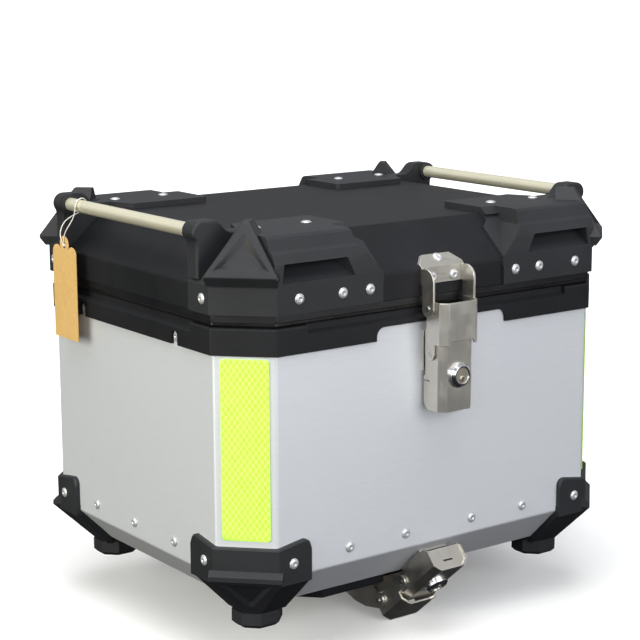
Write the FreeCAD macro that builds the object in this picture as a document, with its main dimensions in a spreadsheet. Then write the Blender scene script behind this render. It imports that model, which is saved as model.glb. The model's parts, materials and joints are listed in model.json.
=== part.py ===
import FreeCAD, Part
import math
import os
import Sketcher

Vector = FreeCAD.Vector
Rotation = FreeCAD.Rotation
Placement = FreeCAD.Placement

# ---------------------------------------------------------------------------
# Driving dimensions in millimetres. Heights are drawn from the soles of the
# feet, the latch side faces -Y and +Z is up. At the end every piece is moved
# down by plate_low, so that the frame's origin is the middle of the underside
# of the plate that bolts to the rack.
# ---------------------------------------------------------------------------
SIZES = {
    "body_width": 430.0,
    "body_depth": 346.6,
    "corner_leg": 37.8,
    "wall": 2.0,
    "under_side": 20.7,
    "bend_level": 55.0,
    "bevel_inset": 34.5,
    "wall_top": 264.0,
    "bend_round": 4.0,
    "corner_round": 3.0,
    "pan_sheet": 1.5,
    "pan_top": 78.0,
    "mat_thick": 4.0,
    "collar_low": 248.3,
    "collar_high": 272.0,
    "collar_proud": 3.3,
    "collar_inner": 6.0,
    "seal_gap": 0.2,
    "seal_high": 276.2,
    "rim_high": 302.0,
    "lid_low": 282.9,
    "skirt_high": 306.4,
    "lid_high": 342.5,
    "lid_proud": 2.6,
    "lid_inset": 42.0,
    "lid_sheet": 1.8,
    "guard_skin": 2.6,
    "guard_front_x": 69.0,
    "guard_side_y": 107.0,
    "flange_x": 78.0,
    "flange_y": 82.0,
    "flange_high": 347.6,
    "post_thick": 15.0,
    "post_ring": 9.5,
    "guard_gap": 0.02,
    "bar_x": 214.0,
    "bar_z": 349.0,
    "bar_radius": 6.0,
    "bar_bore": 4.8,
    "bar_half": 118.0,
    "bumper_reach": 262.5,
    "bumper_low": 316.0,
    "bumper_high": 358.6,
    "bumper_half": 31.5,
    "chin_drop": 8.5,
    "bracket_thick": 4.5,
    "wing_x": 145.0,
    "wing_y": 102.0,
    "wing_high": 87.0,
    "foot_x": 164.6,
    "foot_y": 122.4,
    "foot_long": 43.0,
    "foot_wide": 40.0,
    "foot_leg": 12.0,
    "ledge_proud": 4.5,
    "reflector_wide": 41.6,
    "reflector_low": 88.3,
    "reflector_high": 245.3,
    "reflector_thick": 1.0,
    "rivet_head": 4.7,
    "rivet_rise": 2.0,
    "rivet_shank": 2.4,
    "rail_sheet": 2.5,
    "hinge_x": 42.0,
    "hinge_y": 181.0,
    "hinge_z": 277.5,
    "hinge_wide": 46.0,
    "hinge_sheet": 2.0,
    "hinge_bore": 2.5,
    "hinge_pin": 2.45,
    "latch_x": -2.0,
    "ear_pin_z": 272.4,
    "pin_depth": 13.0,
    "link_long": 40.0,
    "lever_tip": 91.0,
    "lever_half": 19.5,
    "lever_sheet": 1.6,
    "lever_front": 27.5,
    "hood_half": 21.7,
    "hood_sheet": 1.8,
    "hood_front": 32.0,
    "ear_inside": 22.1,
    "ear_sheet": 2.0,
    "latch_pin": 2.5,
    "latch_bore": 2.55,
    "lock_level": 58.8,
    "lock_ring": 11.0,
    "lock_rise": 5.0,
    "lock_bevel": 2.4,
    "lock_barrel": 8.6,
    "plug_radius": 7.2,
    "plug_bore": 7.26,
    "base_tilt": 41.0,
    "base_ear_y": -115.5,
    "base_ear_z": -14.4,
    "plate_half": 123.0,
    "plate_front": -133.0,
    "plate_rear": 120.0,
    "plate_low": 10.0,
    "plate_high": 20.2,
    "slot_x": 60.0,
    "slot_y": 55.0,
    "slot_radius": 3.3,
    "slot_long": 30.0,
}

doc = FreeCAD.newDocument("top_case")
sheet = doc.addObject("Spreadsheet::Sheet", "Sizes")
for row, (alias, number) in enumerate(SIZES.items(), start=1):
    sheet.set(f"A{row}", alias)
    sheet.set(f"B{row}", str(number))
    sheet.setAlias(f"B{row}", alias)
doc.recompute()


class Dim:
    """A dimension that carries both its number and its spreadsheet formula."""

    def __init__(self, number, formula):
        self.number = number
        self.formula = formula

    def __float__(self):
        return float(self.number)

    def __add__(self, other):
        return Dim(self.number + float(other), f"({self.formula} + {formula_of(other)})")

    def __radd__(self, other):
        return Dim(float(other) + self.number, f"({formula_of(other)} + {self.formula})")

    def __sub__(self, other):
        return Dim(self.number - float(other), f"({self.formula} - {formula_of(other)})")

    def __rsub__(self, other):
        return Dim(float(other) - self.number, f"({formula_of(other)} - {self.formula})")

    def __mul__(self, other):
        return Dim(self.number * float(other), f"({self.formula} * {formula_of(other)})")

    def __truediv__(self, other):
        return Dim(self.number / float(other), f"({self.formula} / {formula_of(other)})")

    def __neg__(self):
        return Dim(-self.number, f"(0 - {self.formula})")

    __rmul__ = __mul__


def formula_of(value):
    return value.formula if isinstance(value, Dim) else f"({value})"


def size(alias):
    """The named cell of the sheet as a Dim."""
    return Dim(float(sheet.get(alias)), f"Sizes.{alias}")


def bind(feature, path, value):
    """Drive one property of a feature by its formula."""
    if isinstance(value, Dim):
        feature.setExpression(path, value.formula)


# An octagon's corner leg grows by this share of the distance it is offset.
LEG_GROWTH = 2.0 - math.sqrt(2.0)

HALF_WIDTH = size("body_width") / 2
HALF_DEPTH = size("body_depth") / 2
CORNER_LEG = size("corner_leg")
LID_PROUD = size("lid_proud")
LID_INSET = size("lid_inset")

# How the lid's slope moves its bend and its top edge when it is offset.
SLOPE_RISE = float(size("lid_high") - size("skirt_high"))
SLOPE_LENGTH = math.hypot(SLOPE_RISE, float(LID_INSET))
SLOPE_OUT = SLOPE_RISE / SLOPE_LENGTH
SLOPE_UP = float(LID_INSET) / SLOPE_LENGTH
BEND_SHIFT = (1.0 - SLOPE_OUT) / SLOPE_UP
TOP_SHIFT = (1.0 - SLOPE_UP) / SLOPE_OUT
BEVEL_SHIFT = math.sqrt(2.0) - 1.0


# ---------------------------------------------------------------------------
# PartDesign helpers
# ---------------------------------------------------------------------------
def new_body(label):
    body = doc.addObject("PartDesign::Body", label)
    body.Label = label
    return body


def origin_plane(body, role):
    for item in body.Origin.OriginFeatures:
        if item.Role == role:
            return item
    raise ValueError(role)


def new_sketch(body, role, level):
    """A sketch on an origin plane, moved along that plane's normal."""
    sketch = body.newObject("Sketcher::SketchObject", f"{body.Name}_sketch")
    sketch.AttachmentSupport = (origin_plane(body, role), "")
    sketch.MapMode = "FlatFace"
    sketch.AttachmentOffset = Placement(Vector(0, 0, float(level)), Rotation())
    bind(sketch, "AttachmentOffset.Base.z", level)
    return sketch


def fix_point(sketch, geometry, point, x, y):
    """Hold one point of the sketch at x, y measured from the origin."""
    for value, kind, axis in ((x, "DistanceX", -2), (y, "DistanceY", -1)):
        if abs(float(value)) < 1e-9:
            sketch.addConstraint(Sketcher.Constraint("PointOnObject", geometry, point, axis))
            continue
        held = Sketcher.Constraint(kind, -1, 1, geometry, point, float(value))
        index = sketch.addConstraint(held)
        bind(sketch, f"Constraints[{index}]", value)


def draw_polygon(sketch, corners):
    first = sketch.GeometryCount
    points = [Vector(float(x), float(y), 0) for x, y in corners]
    ends = points[1:] + points[:1]
    sketch.addGeometry([Part.LineSegment(a, b) for a, b in zip(points, ends)], False)
    count = len(corners)
    joined = [Sketcher.Constraint("Coincident", first + i, 2, first + (i + 1) % count, 1)
              for i in range(count)]
    sketch.addConstraint(joined)
    for i, (x, y) in enumerate(corners):
        fix_point(sketch, first + i, 1, x, y)


def draw_circle(sketch, x, y, radius):
    centre = Vector(float(x), float(y), 0)
    ring = sketch.addGeometry(Part.Circle(centre, Vector(0, 0, 1), float(radius)), False)
    fix_point(sketch, ring, 3, x, y)
    index = sketch.addConstraint(Sketcher.Constraint("Radius", ring, float(radius)))
    bind(sketch, f"Constraints[{index}]", radius)


def extrude(body, kind, role, low, high, outlines):
    """Pad or pocket outlines between two levels of the plane's own world axis.

    An outline is a list of corners, or a tuple (x, y, radius) for a circle.
    """
    # The XZ plane's normal points to -Y, so its levels run backwards.
    start = -high if role == "XZ_Plane" else low
    sketch = new_sketch(body, role, start)
    for outline in outlines:
        if isinstance(outline, tuple):
            draw_circle(sketch, *outline)
        else:
            draw_polygon(sketch, outline)
    feature = body.newObject(f"PartDesign::{kind}", f"{body.Name}_{kind}")
    feature.Profile = sketch
    length = high - low
    feature.Length = float(length)
    bind(feature, "Length", length)
    if kind == "Pocket":
        feature.Reversed = True
    return feature


def pad(body, role, low, high, *outlines):
    return extrude(body, "Pad", role, low, high, outlines)


LEAST_CUT = 0.01


def cut_with(body, what, make_tool):
    """Run make_tool, which adds a cutting feature, and make sure that it cut something."""
    doc.recompute()
    before = body.Shape.Volume
    feature = make_tool()
    doc.recompute()
    if body.Shape.Volume > before - LEAST_CUT:
        raise RuntimeError(f"{body.Label}: {what} cut nothing")
    return feature


def pocket(body, role, low, high, *outlines):
    """Remove material between two levels."""
    return cut_with(body, "a pocket",
                    lambda: extrude(body, "Pocket", role, low, high, outlines))


def loft(body, kind, bottom, top):
    """A ruled loft between two octagons, each (half width, half depth, leg, level)."""
    sketches = []
    for half_width, half_depth, leg, level in (bottom, top):
        sketch = new_sketch(body, "XY_Plane", level)
        draw_polygon(sketch, octagon(half_width, half_depth, leg))
        sketches.append(sketch)
    feature = body.newObject(f"PartDesign::{kind}", f"{body.Name}_{kind}")
    feature.Profile = sketches[0]
    feature.Sections = [sketches[1]]
    feature.Ruled = True
    return feature


def dress_edges(body, kind, measure, value, picked):
    """Add a fillet or chamfer to the edges of the body so far for which picked(edge) is true."""
    doc.recompute()
    base = body.Tip
    names = [f"Edge{i}" for i, edge in enumerate(base.Shape.Edges, start=1) if picked(edge)]
    if not names:
        raise RuntimeError(f"{body.Label}: no edge to dress")
    feature = body.newObject(f"PartDesign::{kind}", f"{body.Name}_{kind}")
    feature.Base = (base, names)
    setattr(feature, measure, float(value))
    bind(feature, measure, value)
    doc.recompute()
    return feature


def round_edges(body, radius, picked):
    return dress_edges(body, "Fillet", "Radius", radius, picked)


def cut_edges(body, leg, picked):
    return dress_edges(body, "Chamfer", "Size", leg, picked)


def octagon(half_width, half_depth, leg):
    """Corners of a rectangle with cut corners, anticlockwise."""
    return [
        (half_width - leg, -half_depth), (half_width, leg - half_depth),
        (half_width, half_depth - leg), (half_width - leg, half_depth),
        (leg - half_width, half_depth), (-half_width, half_depth - leg),
        (-half_width, leg - half_depth), (leg - half_width, -half_depth),
    ]


def body_octagon(offset):
    """The case's plan, moved outward by offset."""
    leg = CORNER_LEG + offset * LEG_GROWTH
    return HALF_WIDTH + offset, HALF_DEPTH + offset, leg


def rectangle(x_low, x_high, y_low, y_high):
    return [(x_low, y_low), (x_high, y_low), (x_high, y_high), (x_low, y_high)]


def edge_middle(edge):
    return edge.valueAt((edge.FirstParameter + edge.LastParameter) / 2)


def edge_direction(edge):
    return (edge.Vertexes[-1].Point - edge.Vertexes[0].Point).normalize()


def is_upright(edge):
    return len(edge.Vertexes) == 2 and abs(edge_direction(edge).z) > 0.999


# ---------------------------------------------------------------------------
# Helpers for shapes built directly from the sheet's sizes
# ---------------------------------------------------------------------------
def solid_feature(label, shape):
    """A document object for a shape that is built in code."""
    feature = doc.addObject("Part::Feature", label)
    feature.Label = label
    feature.Shape = shape
    feature.Placement = Placement(Vector(0, 0, 0), Rotation())
    return feature


def prism(axis, low, high, outline):
    """Extrude an outline along x, y or z. Its pairs are the other two axes in order."""
    low = float(low)
    makers = {
        "x": lambda a, b: Vector(low, a, b),
        "y": lambda a, b: Vector(a, low, b),
        "z": lambda a, b: Vector(a, b, low),
    }
    steps = {"x": Vector(1, 0, 0), "y": Vector(0, 1, 0), "z": Vector(0, 0, 1)}
    points = [makers[axis](float(a), float(b)) for a, b in outline]
    face = Part.Face(Part.makePolygon(points + points[:1]))
    return face.extrude(steps[axis] * (float(high) - low))


def ruled_solid(lower, upper):
    """A solid between two closed outlines of 3-D points with equal counts."""
    wires = [Part.makePolygon(points + points[:1]) for points in (lower, upper)]
    return Part.makeLoft(wires, True, True)


def arc_points(x, y, radius, start, end, steps):
    """Points on a circle's arc between two angles in degrees."""
    angles = [math.radians(start + (end - start) * i / steps) for i in range(steps + 1)]
    return [(x + radius * math.cos(angle), y + radius * math.sin(angle)) for angle in angles]


def corner_spot(along, out, level):
    """A point of the +X +Y corner: along the cut face from its middle, out from the centre."""
    middle = (float(HALF_WIDTH) - float(HALF_DEPTH)) / math.sqrt(2.0)
    along = along + middle
    return Vector((out + along) / math.sqrt(2.0), (out - along) / math.sqrt(2.0), level)


def corner_run(half, profile):
    """A solid along the cut corner with an (out, level) profile, from -half to half."""
    return ruled_solid([corner_spot(-half, out, level) for out, level in profile],
                       [corner_spot(half, out, level) for out, level in profile])


def level_points(corners, level):
    return [Vector(float(x), float(y), float(level)) for x, y in corners]


def fuse_all(shapes):
    result = shapes[0].multiFuse(shapes[1:])
    return result.removeSplitter()


def lid_solid(offset):
    """The lid's outer form as one solid, moved outward by offset."""
    half_width = float(HALF_WIDTH + LID_PROUD)
    half_depth = float(HALF_DEPTH + LID_PROUD)
    leg = float(CORNER_LEG + LID_PROUD * LEG_GROWTH)
    low = float(size("lid_low"))
    bend = float(size("skirt_high")) + offset * BEND_SHIFT
    high = float(size("lid_high")) + offset
    inset = float(LID_INSET) - offset * TOP_SHIFT
    skirt = octagon(half_width + offset, half_depth + offset, leg + offset * LEG_GROWTH)
    top = octagon(half_width - inset, half_depth - inset, leg - inset * LEG_GROWTH)
    lower = ruled_solid(level_points(skirt, low), level_points(skirt, bend))
    upper = ruled_solid(level_points(skirt, bend), level_points(top, high))
    return lower.fuse(upper).removeSplitter()


def case_solid():
    """The case's outer form below the collar as one solid."""
    top_shape = body_octagon(0.0)
    low_shape = body_octagon(-size("bevel_inset"))
    top = octagon(*[float(value) for value in top_shape])
    low = octagon(*[float(value) for value in low_shape])
    bend = float(size("bend_level"))
    lower = ruled_solid(level_points(low, size("under_side")), level_points(top, bend))
    upper = ruled_solid(level_points(top, bend), level_points(top, size("collar_low")))
    return lower.fuse(upper).removeSplitter()


def mirrored(label, source, normal):
    """The same moulding for the other side of the case."""
    twin = doc.addObject("Part::Mirroring", label)
    twin.Label = label
    twin.Source = source
    twin.Normal = normal
    twin.Base = Vector(0, 0, 0)
    return twin


# ---------------------------------------------------------------------------
# Rivets
# ---------------------------------------------------------------------------
def rivet(length):
    """A domed blind rivet on the Z axis: its head sits on z = 0, its shank hangs below."""
    head = float(size("rivet_head"))
    rise = float(size("rivet_rise"))
    shank = float(size("rivet_shank"))
    mandrel = 1.15
    hole_floor = 0.2
    points = [
        Vector(0, 0, hole_floor), Vector(mandrel, 0, hole_floor), Vector(mandrel, 0, rise),
    ]
    dome = Part.Arc(Vector(mandrel, 0, rise), Vector(head * 0.72, 0, rise * 0.72),
                    Vector(head, 0, 0.5)).toShape()
    skirt = [
        Vector(head, 0, 0.5), Vector(head, 0, 0), Vector(shank, 0, 0),
        Vector(shank, 0, -length), Vector(0, 0, -length), Vector(0, 0, hole_floor),
    ]
    edges = [Part.makeLine(a, b) for a, b in zip(points, points[1:])]
    edges.append(dome)
    edges += [Part.makeLine(a, b) for a, b in zip(skirt, skirt[1:])]
    face = Part.Face(Part.Wire(edges))
    return face.revolve(Vector(0, 0, 0), Vector(0, 0, 1), 360)


def turned(shape, spot, outward):
    """A copy of a shape that stood on +Z, moved to spot and pointing outward."""
    copy = shape.copy()
    copy.Placement = Placement(Vector(*spot), Rotation(Vector(0, 0, 1), Vector(*outward)))
    return copy


DRILL_PAST = 3.0


def rivet_hole(spot, outward, length):
    hole = Part.makeCylinder(float(size("rivet_shank")), length + DRILL_PAST,
                             Vector(0, 0, -length))
    return turned(hole, spot, outward)


def all_signs(places):
    """Repeat each (x, y) at the other side of both planes, without doubles."""
    found = []
    for x, y in places:
        for place in ((x, y), (-x, y), (x, -y), (-x, -y)):
            if place not in found:
                found.append(place)
    return found


# Rivet places: (spot on the outer skin, outward direction, grip length).
ROW_LEVEL = 69.0
WING_LEVEL = 68.0
FRONT_ROW = (38.5, 101.0)
SIDE_ROW = (0.0, 68.5)
WING_RIVET_X = 164.0
WING_RIVET_Y = 124.0
NOTCH_Y = 80.0
NOTCH_LEVEL = 255.0
SHEET_GRIP = 5.0
WING_GRIP = SHEET_GRIP + float(size("bracket_thick"))
half_x = float(HALF_WIDTH)
half_y = float(HALF_DEPTH)
wing = float(size("bracket_thick"))

case_row_spots = []
for side in (-1, 1):
    for x in FRONT_ROW:
        for sign in (-1, 1):
            case_row_spots.append(((sign * x, side * half_y, ROW_LEVEL), (0, side, 0), SHEET_GRIP))
    for y in (-SIDE_ROW[1], SIDE_ROW[0], SIDE_ROW[1]):
        case_row_spots.append(((side * half_x, y, ROW_LEVEL), (side, 0, 0), SHEET_GRIP))
wing_spots = []
for x, y in all_signs([(WING_RIVET_X, WING_RIVET_Y)]):
    side_x = math.copysign(1, x)
    side_y = math.copysign(1, y)
    wing_spots.append(((x, side_y * (half_y + wing), WING_LEVEL), (0, side_y, 0), WING_GRIP))
    wing_spots.append(((side_x * (half_x + wing), y, WING_LEVEL), (side_x, 0, 0), WING_GRIP))
notch_spots = [((x, y, NOTCH_LEVEL), (math.copysign(1, x), 0, 0), SHEET_GRIP + 3.0)
               for x, y in all_signs([(half_x, NOTCH_Y)])]


RAIL_HALF = 80.0
RAIL_RIVET_X = (-66.0, -22.0, 22.0, 66.0)
RAIL_RIVET_Y = 131.0
rail_low = float(size("under_side") - size("rail_sheet"))
rail_spots = [((x, RAIL_RIVET_Y, rail_low), (0, 0, -1), 5.8) for x in RAIL_RIVET_X]


def rail_holes(body, low, high):
    """Upright holes for the rivets of the dock rail."""
    circles = [(x, y, size("rivet_shank")) for (x, y, _), _, _ in rail_spots]
    pocket(body, "XY_Plane", low, high, *circles)


# The keepers under the two latches: rivet places in the case's frame.
KEEPER_SHEET = 2.0
KEEPER_RIVET_X = 11.0
KEEPER_RIVET_DROP = 29.6
lid_keeper_spots = [
    ((float(size("latch_x")) + sign * KEEPER_RIVET_X, -half_y - KEEPER_SHEET,
      float(size("ear_pin_z")) - KEEPER_RIVET_DROP), (0, -1, 0), 5.0)
    for sign in (-1, 1)
]
# The bevel's run, as a unit step upward along it and its outward direction.
bevel_rise = float(size("bend_level") - size("under_side"))
bevel_length = math.hypot(bevel_rise, float(size("bevel_inset")))
BEVEL_STEP = (-float(size("bevel_inset")) / bevel_length, bevel_rise / bevel_length)
BEVEL_OUT = (-BEVEL_STEP[1], BEVEL_STEP[0])
BEVEL_FOOT = (-float(HALF_DEPTH - size("bevel_inset")), float(size("under_side")))
BASE_KEEPER_RUN = (1.6, 36.0)
BASE_KEEPER_RIVET_RUN = 28.0
BASE_KEEPER_GAP = 0.03


def on_bevel(run, lift):
    """A (y, z) point given along the front bevel from its foot and out from it."""
    return (BEVEL_FOOT[0] + run * BEVEL_STEP[0] + lift * BEVEL_OUT[0],
            BEVEL_FOOT[1] + run * BEVEL_STEP[1] + lift * BEVEL_OUT[1])


base_keeper_spots = [
    ((sign * KEEPER_RIVET_X, *on_bevel(BASE_KEEPER_RIVET_RUN, KEEPER_SHEET + BASE_KEEPER_GAP)),
     (0, *BEVEL_OUT), 6.0)
    for sign in (-1, 1)
]


def hole_pockets(body, spots):
    """Drill the rivet holes of a sheet, each only through the wall its rivet sits on."""
    walls = {}
    for (x, y, z), (out_x, out_y, _), _ in spots:
        along = x if out_y else y
        walls.setdefault((out_x, out_y), []).append((along, z, size("rivet_shank")))
    for (out_x, out_y), circles in walls.items():
        role = "XZ_Plane" if out_y else "YZ_Plane"
        reach = HALF_DEPTH if out_y else HALF_WIDTH
        low = reach - 15
        high = reach + 12
        if out_x + out_y < 0:
            low, high = -high, -low
        pocket(body, role, low, high, *circles)


def drill(body, spot, outward, depth):
    """Cut one slanting rivet hole that runs inward from just above spot."""
    line = Vector(*outward).normalize()

    def make_tool():
        tool = body.newObject("PartDesign::SubtractiveCylinder", f"{body.Name}_drill")
        bind(tool, "Radius", size("rivet_shank"))
        tool.Height = depth + DRILL_PAST
        tool.Placement = Placement(Vector(*spot) - line * depth, Rotation(Vector(0, 0, 1), line))
        return tool

    cut_with(body, "a slanting hole", make_tool)


# ---------------------------------------------------------------------------
# The case
# ---------------------------------------------------------------------------
def make_body_shell():
    """The folded sheet: four walls, cut corners, bevelled foot and a lip below."""
    body = new_body("body_shell")
    bend = size("bend_level")
    under = size("under_side")
    wall = size("wall")
    low_shape = body_octagon(-size("bevel_inset"))
    loft(body, "AdditiveLoft", (*low_shape, under), (*body_octagon(0.0), bend))
    pad(body, "XY_Plane", bend, size("wall_top"), octagon(*body_octagon(0.0)))
    bend_number = float(bend)
    round_edges(body, size("bend_round"),
                lambda edge: is_upright(edge) or abs(edge_middle(edge).z - bend_number) < 0.6)
    inner_low = body_octagon(wall - size("bevel_inset") - wall * math.sqrt(2.0))
    inner_bend = bend + wall * BEVEL_SHIFT
    pocket_loft(body, inner_low, under + wall, body_octagon(-wall), inner_bend)
    pocket(body, "XY_Plane", inner_bend, size("wall_top") + 1, octagon(*body_octagon(-wall)))
    lip = body_octagon(-size("bevel_inset") - 30)
    pocket(body, "XY_Plane", under - 1, under + wall + 1, octagon(*lip))
    hole_pockets(body, case_row_spots + wing_spots + notch_spots + lid_keeper_spots
                 + collar_hinge_spots)
    rail_holes(body, under - 1, under + wall + 1)
    for spot, outward, grip in base_keeper_spots:
        drill(body, spot, outward, grip)
    return body


def pocket_loft(body, low_shape, low_level, high_shape, high_level):
    """Cut a tapering hollow."""
    cut_with(body, "the hollow", lambda: loft(
        body, "SubtractiveLoft", (*low_shape, low_level), (*high_shape, high_level)))


def make_floor_pan():
    """The pressed tray that closes the bottom; its flange is riveted to the walls."""
    body = new_body("floor_pan")
    wall = size("wall")
    pan = size("pan_sheet")
    under = size("under_side") + wall
    bend = size("bend_level") + wall * BEVEL_SHIFT
    inset = size("bevel_inset")
    outer_low = body_octagon(wall - inset - wall * math.sqrt(2.0))
    loft(body, "AdditiveLoft", (*outer_low, under), (*body_octagon(-wall), bend))
    pad(body, "XY_Plane", bend, size("pan_top"), octagon(*body_octagon(-wall)))
    sheets = wall + pan
    inner_low = body_octagon(sheets - inset - sheets * math.sqrt(2.0))
    inner_bend = size("bend_level") + sheets * BEVEL_SHIFT
    pocket_loft(body, inner_low, under + pan, body_octagon(-sheets), inner_bend)
    pocket(body, "XY_Plane", inner_bend, size("pan_top") + 1, octagon(*body_octagon(-sheets)))
    hole_pockets(body, case_row_spots + wing_spots)
    rail_holes(body, under - 1, under + pan + 1)
    for spot, outward, grip in base_keeper_spots:
        drill(body, spot, outward, grip)
    return body


def make_floor_mat():
    """The soft mat that lies loose on the tray."""
    body = new_body("floor_mat")
    low = size("under_side") + size("wall") + size("pan_sheet")
    shape = body_octagon(-size("bevel_inset") - 5)
    pad(body, "XY_Plane", low, low + size("mat_thick"), octagon(*shape))
    return body


GROOVE_DEEP = 4.3
GROOVE_LOW = 263.6
GROOVE_SLOPE = 3.0
GROOVE_HALF_X = 147.0
GROOVE_HALF_Y = 106.0
STEP_LEVEL = 260.1
STEP_HALF = 74.0
STEP_ROUND = 8.0
NOTCH_HALF = 5.2
NOTCH_RISE = 12.7
COLLAR_TOP_ROUND = 2.2


def make_collar_frame():
    """The moulded rim on the walls: a channel over the sheet's top edge."""
    body = new_body("collar_frame")
    low = size("collar_low")
    high = size("collar_high")
    proud = size("collar_proud")
    inner = size("collar_inner")
    wall = size("wall")
    pad(body, "XY_Plane", low, high, octagon(*body_octagon(proud)))
    round_edges(body, size("corner_round"), is_upright)
    top = float(high)
    round_edges(body, COLLAR_TOP_ROUND, lambda edge: abs(edge_middle(edge).z - top) < 0.01)
    pocket(body, "XY_Plane", low - 1, high + 1, octagon(*body_octagon(-inner)))
    pocket(body, "XY_Plane", low - 1, size("wall_top"),
           octagon(*body_octagon(0.0)), octagon(*body_octagon(-wall)))
    cut_groove(body, "YZ_Plane", GROOVE_HALF_X, HALF_DEPTH + proud)
    cut_groove(body, "XZ_Plane", GROOVE_HALF_Y, HALF_WIDTH + proud)
    round_x = STEP_HALF - STEP_ROUND
    round_z = STEP_LEVEL - STEP_ROUND
    step = ([(-STEP_HALF, low - 1), (STEP_HALF, low - 1)]
            + arc_points(round_x, round_z, STEP_ROUND, 0, 90, 6)
            + arc_points(-round_x, round_z, STEP_ROUND, 90, 180, 6))
    pocket(body, "XZ_Plane", -HALF_DEPTH - 10, -HALF_DEPTH, step)
    notches = []
    for y in (-NOTCH_Y, NOTCH_Y):
        dome = arc_points(y, float(low) + NOTCH_RISE - NOTCH_HALF, NOTCH_HALF, 0, 180, 8)
        notches.append([(y - NOTCH_HALF, low - 1), (y + NOTCH_HALF, low - 1)] + dome)
    pocket(body, "YZ_Plane", HALF_WIDTH, HALF_WIDTH + 10, *notches)
    pocket(body, "YZ_Plane", -HALF_WIDTH - 10, -HALF_WIDTH, *notches)
    hole_pockets(body, notch_spots + collar_hinge_spots)
    return body


def cut_groove(body, role, half, reach):
    """The long groove in the collar's upper edge, on two opposite sides.

    Its bottom slopes up towards the inside; the sketch lies across its run.
    """
    floor = size("collar_high") + 1
    inside = GROOVE_LOW + GROOVE_SLOPE
    for side in (-1, 1):
        profile = [(side * (reach + 1), GROOVE_LOW), (side * reach, GROOVE_LOW),
                   (side * (reach - GROOVE_DEEP), inside), (side * (reach - GROOVE_DEEP), floor),
                   (side * (reach + 1), floor)]
        pocket(body, role, -half, half, profile)


WING_ROUND = 7.0
WING_SLOPE = 4.5
WING_BEVEL = 1.4
LEDGE_TOP = 62.5
LEDGE_HALF = 32.0
KEEL_TIP_HALF = 7.0
KEEL_TIP_OUT = 223.5
KEEL_TIP_LEVEL = 14.0
FOOT_HIGH = 14.5
FOOT_BEVEL = 3.5


def bracket_wings(plan):
    """The upright sheet of a corner bracket: two wings and the cut corner between them."""
    wing_x = float(size("wing_x"))
    wing_y = float(size("wing_y"))
    high = float(size("wing_high"))
    fold_high = high - WING_SLOPE
    low = 50.0
    fold_x = plan[0] - plan[2]
    fold_y = plan[1] - plan[2]
    ring = prism("z", low, high, octagon(*plan)).cut(prism("z", low - 5, high + 5, octagon(
        *[float(value) for value in body_octagon(0.0)])))
    tops = []
    for wing_end, fold in ((wing_x, fold_x), (wing_y, fold_y)):
        rounded = arc_points(wing_end + WING_ROUND, high - WING_ROUND, WING_ROUND, 90, 180, 6)
        tops.append([(wing_end, low), (fold, low), (fold, fold_high)] + rounded)
    face_y = ring.common(prism("y", 100, 200, tops[0]))
    face_x = ring.common(prism("x", 180, 240, tops[1]))
    face_y = face_y.common(prism("z", low, high, rectangle(130, fold_x, 150, 200)))
    face_x = face_x.common(prism("z", low, high, rectangle(200, 240, 90, fold_y)))
    corner = ring.common(prism("z", low, fold_high, rectangle(fold_x, 240, fold_y, 200)))
    wings = fuse_all([face_y, face_x, corner])
    diagonal = plan[0] + plan[1] - plan[2]

    def is_outer_top(edge):
        spot = edge_middle(edge)
        gap = min(abs(spot.x - plan[0]), abs(spot.y - plan[1]), abs(spot.x + spot.y - diagonal))
        return spot.z > fold_high - 0.01 and gap < 0.01 and not is_upright(edge)

    return wings.makeChamfer(WING_BEVEL, [edge for edge in wings.Edges if is_outer_top(edge)])


def bracket_keel(face_out):
    """The thick wedge in front of the cut corner: a ledge above and a sunk triangle below."""
    proud = float(size("ledge_proud"))
    front = face_out + proud
    level = LEDGE_TOP - proud
    ledge = corner_run(LEDGE_HALF, [(face_out - 5, LEDGE_TOP), (face_out, LEDGE_TOP),
                                    (front, level), (front, level - 4), (face_out - 5, level - 4)])
    tip = KEEL_TIP_HALF
    run = level - 4 - KEEL_TIP_LEVEL
    fall = front - KEEL_TIP_OUT
    depth = 32.0
    faces = []
    for back in (0.0, depth):
        faces.append([corner_spot(-LEDGE_HALF, front - back, level - 4),
                      corner_spot(LEDGE_HALF, front - back, level - 4),
                      corner_spot(tip, KEEL_TIP_OUT - back, KEEL_TIP_LEVEL),
                      corner_spot(-tip, KEEL_TIP_OUT - back, KEEL_TIP_LEVEL)])

    def on_front(along, drop, sink):
        """A place on the leaning front face, drop below its top edge and sunk into it."""
        return corner_spot(along, front - fall * drop / run - sink, level - 4 - drop)

    mouth = [on_front(-23, 3.5, -0.5), on_front(23, 3.5, -0.5),
             on_front(2.5, 31, -0.5), on_front(-2.5, 31, -0.5)]
    floor = [on_front(-15, 7, 3.5), on_front(15, 7, 3.5),
             on_front(1.2, 25, 3.5), on_front(-1.2, 25, 3.5)]
    return ledge.fuse(ruled_solid(*faces)).cut(ruled_solid(mouth, floor))


def bracket_foot():
    """The eight-sided foot with a bevelled sole and a neck up to the case's underside."""
    foot_x = float(size("foot_x"))
    foot_y = float(size("foot_y"))
    half_long = float(size("foot_long")) / 2
    half_wide = float(size("foot_wide")) / 2
    leg = float(size("foot_leg"))

    def plan(inset):
        corners = octagon(half_long - inset, half_wide - inset, leg - inset * LEG_GROWTH)
        return [(foot_x + x, foot_y + y) for x, y in corners]

    sole = ruled_solid(level_points(plan(FOOT_BEVEL), 0.0), level_points(plan(0.0), FOOT_BEVEL))
    block = prism("z", FOOT_BEVEL, FOOT_HIGH, plan(0.0))
    return fuse_all([sole, block, prism("z", FOOT_HIGH - 0.5, size("under_side"), plan(3.0))])


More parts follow.
